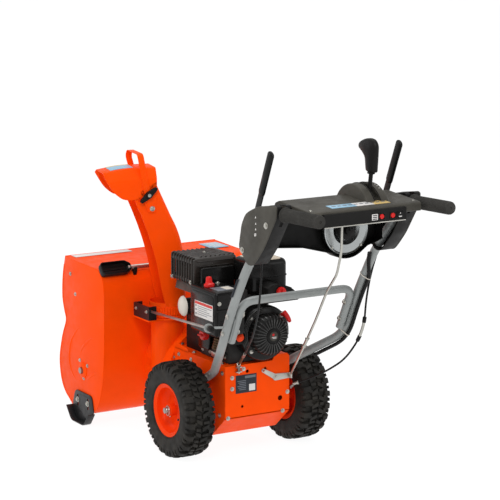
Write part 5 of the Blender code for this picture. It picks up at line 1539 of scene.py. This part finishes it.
def shift_linkage():
    corners = [(-0.0225, 0.614, 0.895), (-0.0225, 0.612, 0.845), (-0.032, 0.596, 0.779),
               (-0.036, 0.565, 0.700), (-0.060, 0.471, 0.626), (-0.080, 0.369, 0.502),
               (-0.110, 0.212, 0.332), (-0.127, 0.1475, 0.272), (-0.127, 0.1475, 0.258)]
    parts = [pipe(bent(corners, 0.020, 5), 0.0042, 18)]
    a, b = Vector(corners[5]), Vector(corners[6])
    along = (b - a).normalized()
    for t in (0.42, 0.60):
        at = a.lerp(b, t)
        parts.append(pin(at - along * 0.005, at + along * 0.005, 0.0072, 6, edge=0.0005))
    parts.append(pin(a.lerp(b, 0.42), a.lerp(b, 0.60), 0.0056, 20))
    piece("shift_rod_wire", parts, ZINC, "shift_rod", ["shift_rod"])
    outline = (arc(SHIFT_PIVOT, 0.012, -90, 90, 15) + arc(SHIFT_ROD_END, 0.009, 90, 270, 15))
    short = arc(SHIFT_PIVOT, 0.0095, 120, 300, 15) + arc(SHIFT_STUB, 0.0065, -60, 120, 15)
    arm = carve(slab(outline, "Y", 0.1372, 0.1402, 0.0006),
                slab(short, "Y", 0.1373, 0.1401, 0.0006), how='UNION')
    stub = pin((SHIFT_STUB[0], 0.1380, SHIFT_STUB[1]), (SHIFT_STUB[0], 0.1520, SHIFT_STUB[1]),
               0.0042, 20, edge=0.0006)
    nut = bolt((SHIFT_PIVOT[0], 0.1402, SHIFT_PIVOT[1]), (0, 1, 0), 0.0068, 0.0045)
    piece("shift_arm_plate", [arm, stub] + nut, ZINC, "shift_arm", ["shift_arm"])


def lamp():
    place = facing("Y", (LAMP[0], 0, LAMP[1]))
    lobe = arc(LAMP, 0.094, 230, 310, 21)
    outline = ([(-0.205, 0.920), (-0.205, 0.802), (-0.148, 0.784)] + lobe
               + [(0.022, 0.780), (0.097, 0.800), (0.205, 0.810), (0.205, 0.920)])
    pan = slab(outline, "Y", 0.530, 0.575, 0.004, 3, 40)
    pan = carve(pan, slab(grown(outline, -0.0028), "Y", 0.5328, 0.60, 0),
                pin((LAMP[0], 0.50, LAMP[1]), (LAMP[0], 0.55, LAMP[1]), 0.0500, 48),
                pin((LAMP[0], 0.54, LAMP[1]), (LAMP[0], 0.60, LAMP[1]), 0.0860, 64))
    rib = [pipe([(x, 0.5755, z) for x, z in ((-0.205, 0.805), (-0.160, 0.789))], 0.0016, 8)]
    piece("cowl_shell", [pan] + rib, BLACK_PLASTIC, replaces=["cowl"])
    bowl = [(0.0, 0.5335), (0.0480, 0.5335), (0.0600, 0.5390), (0.0740, 0.5485), (0.0830, 0.5560),
            (0.0832, 0.5670), (0.0800, 0.5690), (0.0760, 0.5660), (0.0500, 0.5672),
            (0.0400, 0.5560), (0.0340, 0.5530), (0.0, 0.5530)]
    piece("headlight_bowl", lathe(bowl, place, 80), CHROME, replaces=["headlight"])
    lens = [lathe([(0.0, 0.5310), (0.0485, 0.5310), (0.0495, 0.5334), (0.0, 0.5336)], place, 64)]
    piece("headlight_lens", lens, LENS)
    socket = [lathe([(0.0, 0.5525), (0.0330, 0.5525), (0.0330, 0.5700), (0.0250, 0.5740),
                     (0.0150, 0.5740), (0.0150, 0.5880), (0.0090, 0.5900), (0.0, 0.5900)], place,
                    48)]
    piece("headlight_socket", socket, BLACK_PLASTIC)
    wires = []
    for dx, dz in ((0.004, 0.0), (-0.004, 0.003)):
        wires.append(pipe(bent([(LAMP[0] + dx, 0.586, LAMP[1] + dz),
                                (LAMP[0] + dx, 0.602, LAMP[1] + 0.004 + dz),
                                (LAMP[0] + 0.030 + dx, 0.600, LAMP[1] + 0.058),
                                (LAMP[0] + 0.034 + dx, 0.620, 0.926)], 0.02), 0.0018, 10))
    piece("headlight_wires", wires, CABLE)
    screws = bolts([(x, 0.5672, z) for x, z in arc(LAMP, 0.0785, 45, 315, 4)], (0, 1, 0), 0.0028,
                   0.002)
    piece("headlight_screws", screws, ZINC)


def at_height(line, z):
    """The point where a falling line crosses a height."""
    for p, q in zip(line, line[1:]):
        if min(p[2], q[2]) <= z <= max(p[2], q[2]) and p[2] != q[2]:
            return Vector(p).lerp(Vector(q), (z - p[2]) / (q[2] - p[2]))
    return Vector(line[-1])


def control_cables():
    drive = [(0.205, 0.500, 0.790), (0.207, 0.500, 0.700), (0.203, 0.480, 0.600),
             (0.180, 0.410, 0.500), (0.140, 0.300, 0.420), (0.100, 0.190, 0.350),
             (0.085, 0.150, 0.328)]
    auger = [(-0.262, 0.480, 0.773), (-0.259, 0.430, 0.660), (-0.260, 0.402, 0.566),
             (-0.260, 0.392, 0.479), (-0.256, 0.365, 0.420), (-0.232, 0.320, 0.345),
             (-0.200, 0.242, 0.288), (-0.165, 0.175, 0.250), (-0.140, 0.145, 0.235)]
    d, a = bent(drive, 0.055, 8), bent(auger, 0.055, 8)
    piece("drive_cable_jacket", pipe(d, 0.0034, 14), CABLE, replaces=["drive_cable"])
    piece("auger_cable_jacket", pipe(a, 0.0034, 14), CABLE, replaces=["auger_cable"])
    ends = []
    for line in (d, a):
        for p, q in (line[:2], line[:-3:-1]):
            along = (q - p).normalized()
            ends.append(pin(p - along * 0.004, p + along * 0.018, 0.0048, 16, edge=0.0006))
            ends.append(pin(p + along * 0.012, p + along * 0.017, 0.0070, 6, edge=0.0005))
    piece("cable_adjusters", ends, ZINC)
    springs = []
    turns, cuts, r = 8, 12, 0.0042
    for start, end in ((drive[-1], (0.077, 0.145, 0.306)), (auger[-1], (-0.128, 0.140, 0.222))):
        start, end = Vector(start), Vector(end)
        turn = pointing(end - start)
        rise = (end - start).length / (turns * cuts)
        coil = [start + turn @ Vector((r * math.cos(2 * math.pi * i / cuts),
                                       r * math.sin(2 * math.pi * i / cuts), rise * i))
                for i in range(turns * cuts + 1)]
        springs.append(pipe(coil, 0.0011, 6))
    piece("cable_springs", springs, STEEL)
    barrels = [pipe([at_height(a, 0.488 - 0.0145 * i) for i in range(5)], 0.0052, 16),
               pipe([at_height(d, 0.398 - 0.006 * i) for i in range(4)], 0.0050, 16)]
    piece("cable_barrels", barrels, ZINC)
    boots = [pipe([at_height(a, z - 0.006 * i) for i in range(4)], 0.0068, 16)
             for z in (0.502, 0.434)]
    piece("cable_boots", boots, BLACK_PLASTIC)
    sleeve = pipe([at_height(d, 0.376 - 0.010 * i) for i in range(4)], 0.0042, 14)
    piece("drive_cable_sleeve", sleeve, BRONZE)


def wire_loom():
    """Ribbed loom tied along the right upright, from its cover to the frame."""
    tube = upright_line(-1)
    route, frames = [], []
    for i in range(41):
        z = 0.742 - 0.0095 * i
        at = at_height(tube, z)
        along = (at_height(tube, z + 0.012) - at_height(tube, z - 0.012)).normalized()
        back = Vector((1, 0, 0)).cross(along).normalized()
        back = back if back.y > 0 else -back
        side = along.cross(back).normalized()
        side = side if side.x > 0 else -side
        turn = math.radians(min(98.0, 8.0 + 10.5 * i))
        out = side * math.cos(turn) + back * math.sin(turn)
        route.append(at + out * 0.0222)
        frames.append((at, along, out))
    piece("wire_loom", pipe(route, 0.0062, 16), CABLE)
    ribs = []
    for p, q in zip(route, route[1:]):
        turn = pointing(q - p)
        for share in (0.25, 0.75):
            ribs.append(lathe([(0.0058, -0.0012), (0.0068, 0.0), (0.0058, 0.0012)],
                              Matrix.Translation(p.lerp(q, share)) @ turn, 16))
    piece("wire_loom_ribs", ribs, CABLE)
    ties = []
    for i in (9, 31):
        at, along, out = frames[i]
        band = (arc((0, 0), 0.0150, 66, 294, 25) + arc((0.0222, 0), 0.0072, -64, 64, 15))
        ring = slab(grown(band, 0.0012), "Z", -0.0018, 0.0018, 0.0002)
        ring = carve(ring, slab(band, "Z", -0.01, 0.01, 0))
        basis = Matrix((out, along.cross(out), along)).transposed().to_4x4()
        ties.append(moved(ring, Matrix.Translation(at) @ basis))
    piece("loom_ties", ties, WHITE)


def tool():
    axis = Vector((0.0, -0.403, 0.581))
    place = Matrix.Translation(axis) @ Matrix.Rotation(math.radians(-50.0), 4, 'X')
    shaft = pin((-0.058, 0, 0), (0.207, 0, 0), 0.0080, 28, edge=0.002)
    blade = [(0.197, -0.012), (0.217, -0.026), (0.307, -0.026), (0.314, -0.016), (0.314, 0.014),
             (0.307, 0.023), (0.217, 0.023), (0.197, 0.012)]
    blade = rounded_outline(blade, 0.006, 4)
    head = slab(blade, "Z", -0.0100, 0.0115, 0.0015)
    head = carve(head, slab(grown(blade, -0.0028), "Z", -0.0070, 0.03, 0))
    ribs = [block((0.206, n - 0.0012, -0.0075), (0.300, n + 0.0012, -0.0040), 0.0006)
            for n in (-0.012, 0.0, 0.010)]
    piece("tool_shovel", [moved(p, place) for p in [head] + ribs], BLACK_PLASTIC, "cleanout_tool",
          ["cleanout_tool"])
    piece("tool_handle", moved(shaft, place), ZINC, "cleanout_tool", slot="grey_plastic")
    rings = [lathe([(0.0079, -0.002), (0.0088, 0.0), (0.0079, 0.002)],
                   place @ facing("X", (-0.045 + 0.014 * i, 0, 0)), 28) for i in range(9)]
    piece("tool_grip_rings", rings, BLACK_PLASTIC, "cleanout_tool")
    clips = []
    for x in (-0.020, 0.180):
        clip = slab(rounded_outline([(-0.4160, 0.5660), (-0.3990, 0.5500), (-0.3900, 0.5790),
                                     (-0.4080, 0.5930)], 0.003), "X", x - 0.006, x + 0.006, 0.0006)
        clips.append(carve(clip,
                           pin((x - 0.02, axis.y, axis.z), (x + 0.02, axis.y, axis.z), 0.0092, 28),
                           block((x - 0.02, axis.y - 0.0092, axis.z),
                                 (x + 0.02, axis.y + 0.0092, axis.z + 0.03), 0)))
    piece("tool_clips", clips, BLACK_PLASTIC)


def housing_labels():
    piece("housing_top_label", block((-0.290, -0.640, 0.5838), (-0.215, -0.545, 0.5856), 0.0002),
          LABEL_BLUE)
    rows = [block((-0.284, -0.634 + 0.016 * i, 0.5852),
                  (-0.226 - 0.006 * (i % 3), -0.627 + 0.016 * i, 0.5860), 0) for i in range(5)]
    piece("housing_top_rows", rows, LABEL_WHITE)
    piece("housing_front_label", block((0.062, -0.682, 0.5852), (0.290, -0.640, 0.5862), 0.0002),
          LABEL_WHITE)


# ---------------------------------------------------------------------- stage

def stage():
    world = bpy.data.worlds.new("studio")
    bpy.context.scene.world = world
    world.use_nodes = True
    back = world.node_tree.nodes["Background"]
    back.inputs["Color"].default_value = (1.0, 1.0, 1.0, 1)
    back.inputs["Strength"].default_value = 0.62
    bm = bmesh.new()
    bmesh.ops.create_grid(bm, x_segments=4, y_segments=4, size=90.0)
    mesh = as_mesh(bm, "floor")
    floor_paint = Paint("studio_floor", (0.12, 0.12, 0.12), 0.9, grain=60.0, bump=0.001,
                        mottle=0.004, spread=0.02, shine=0.0)
    floor_paint.bsdf.inputs["Emission Color"].default_value = (1, 1, 1, 1)
    floor_paint.bsdf.inputs["Emission Strength"].default_value = 0.94
    mesh.materials.append(floor_paint.mat)
    floor = linked("studio_floor", mesh)
    lamps = (("key", (2.6, 3.6, 4.4), 1.8, 127), ("fill", (-3.4, 4.2, 2.4), 3.0, 30),
             ("front", (3.6, -2.4, 2.8), 2.6, 40), ("top", (-0.4, -0.6, 4.6), 3.0, 60))
    for name, at, size, power in lamps:
        data = bpy.data.lights.new(name, 'AREA')
        data.shape = 'DISK'
        data.size = size
        data.energy = power
        obj = linked(name, data)
        obj.location = at
        aim = Vector((0, -0.1, 0.45)) - Vector(at)
        obj.rotation_euler = aim.to_track_quat('-Z', 'Y').to_euler()


def photo_camera():
    """The photo's view: from behind and from the left, a little above."""
    camera = bpy.data.cameras.new("camera")
    camera.lens = 159.9
    camera.sensor_width = 36.0
    camera.clip_end = 100.0
    obj = linked("camera", camera)
    right = Vector((-0.8569, 0.5155, 0.0)).normalized()
    ahead = Vector((-0.5061, -0.8413, -0.1900)).normalized()
    up = right.cross(ahead).normalized()
    basis = Matrix((right, up, -ahead)).transposed().to_4x4()
    obj.matrix_world = Matrix.Translation(Vector((3.781, 6.372, 2.1235)) + OFFSET) @ basis
    bpy.context.scene.camera = obj
    bpy.context.scene.view_settings.view_transform = 'Standard'


for make in (auger_housing, impeller_drum, skids_and_scraper, augers, chute, deflector, wing_knob,
             chute_drive, frame_box, rating_plate, panel_brackets, wheels, engine,
             lower_engine_cover, shroud, shroud_labels, spark_plug, shroud_bolts, starter,
             exhaust_guard, recoil, tank, oil_and_carb, handles, covers_levers_and_grips, console,
             switches, console_prints, console_bolts, speed_lever, shift_linkage, lamp,
             control_cables, wire_loom, tool, housing_labels, stage, photo_camera):
    make()
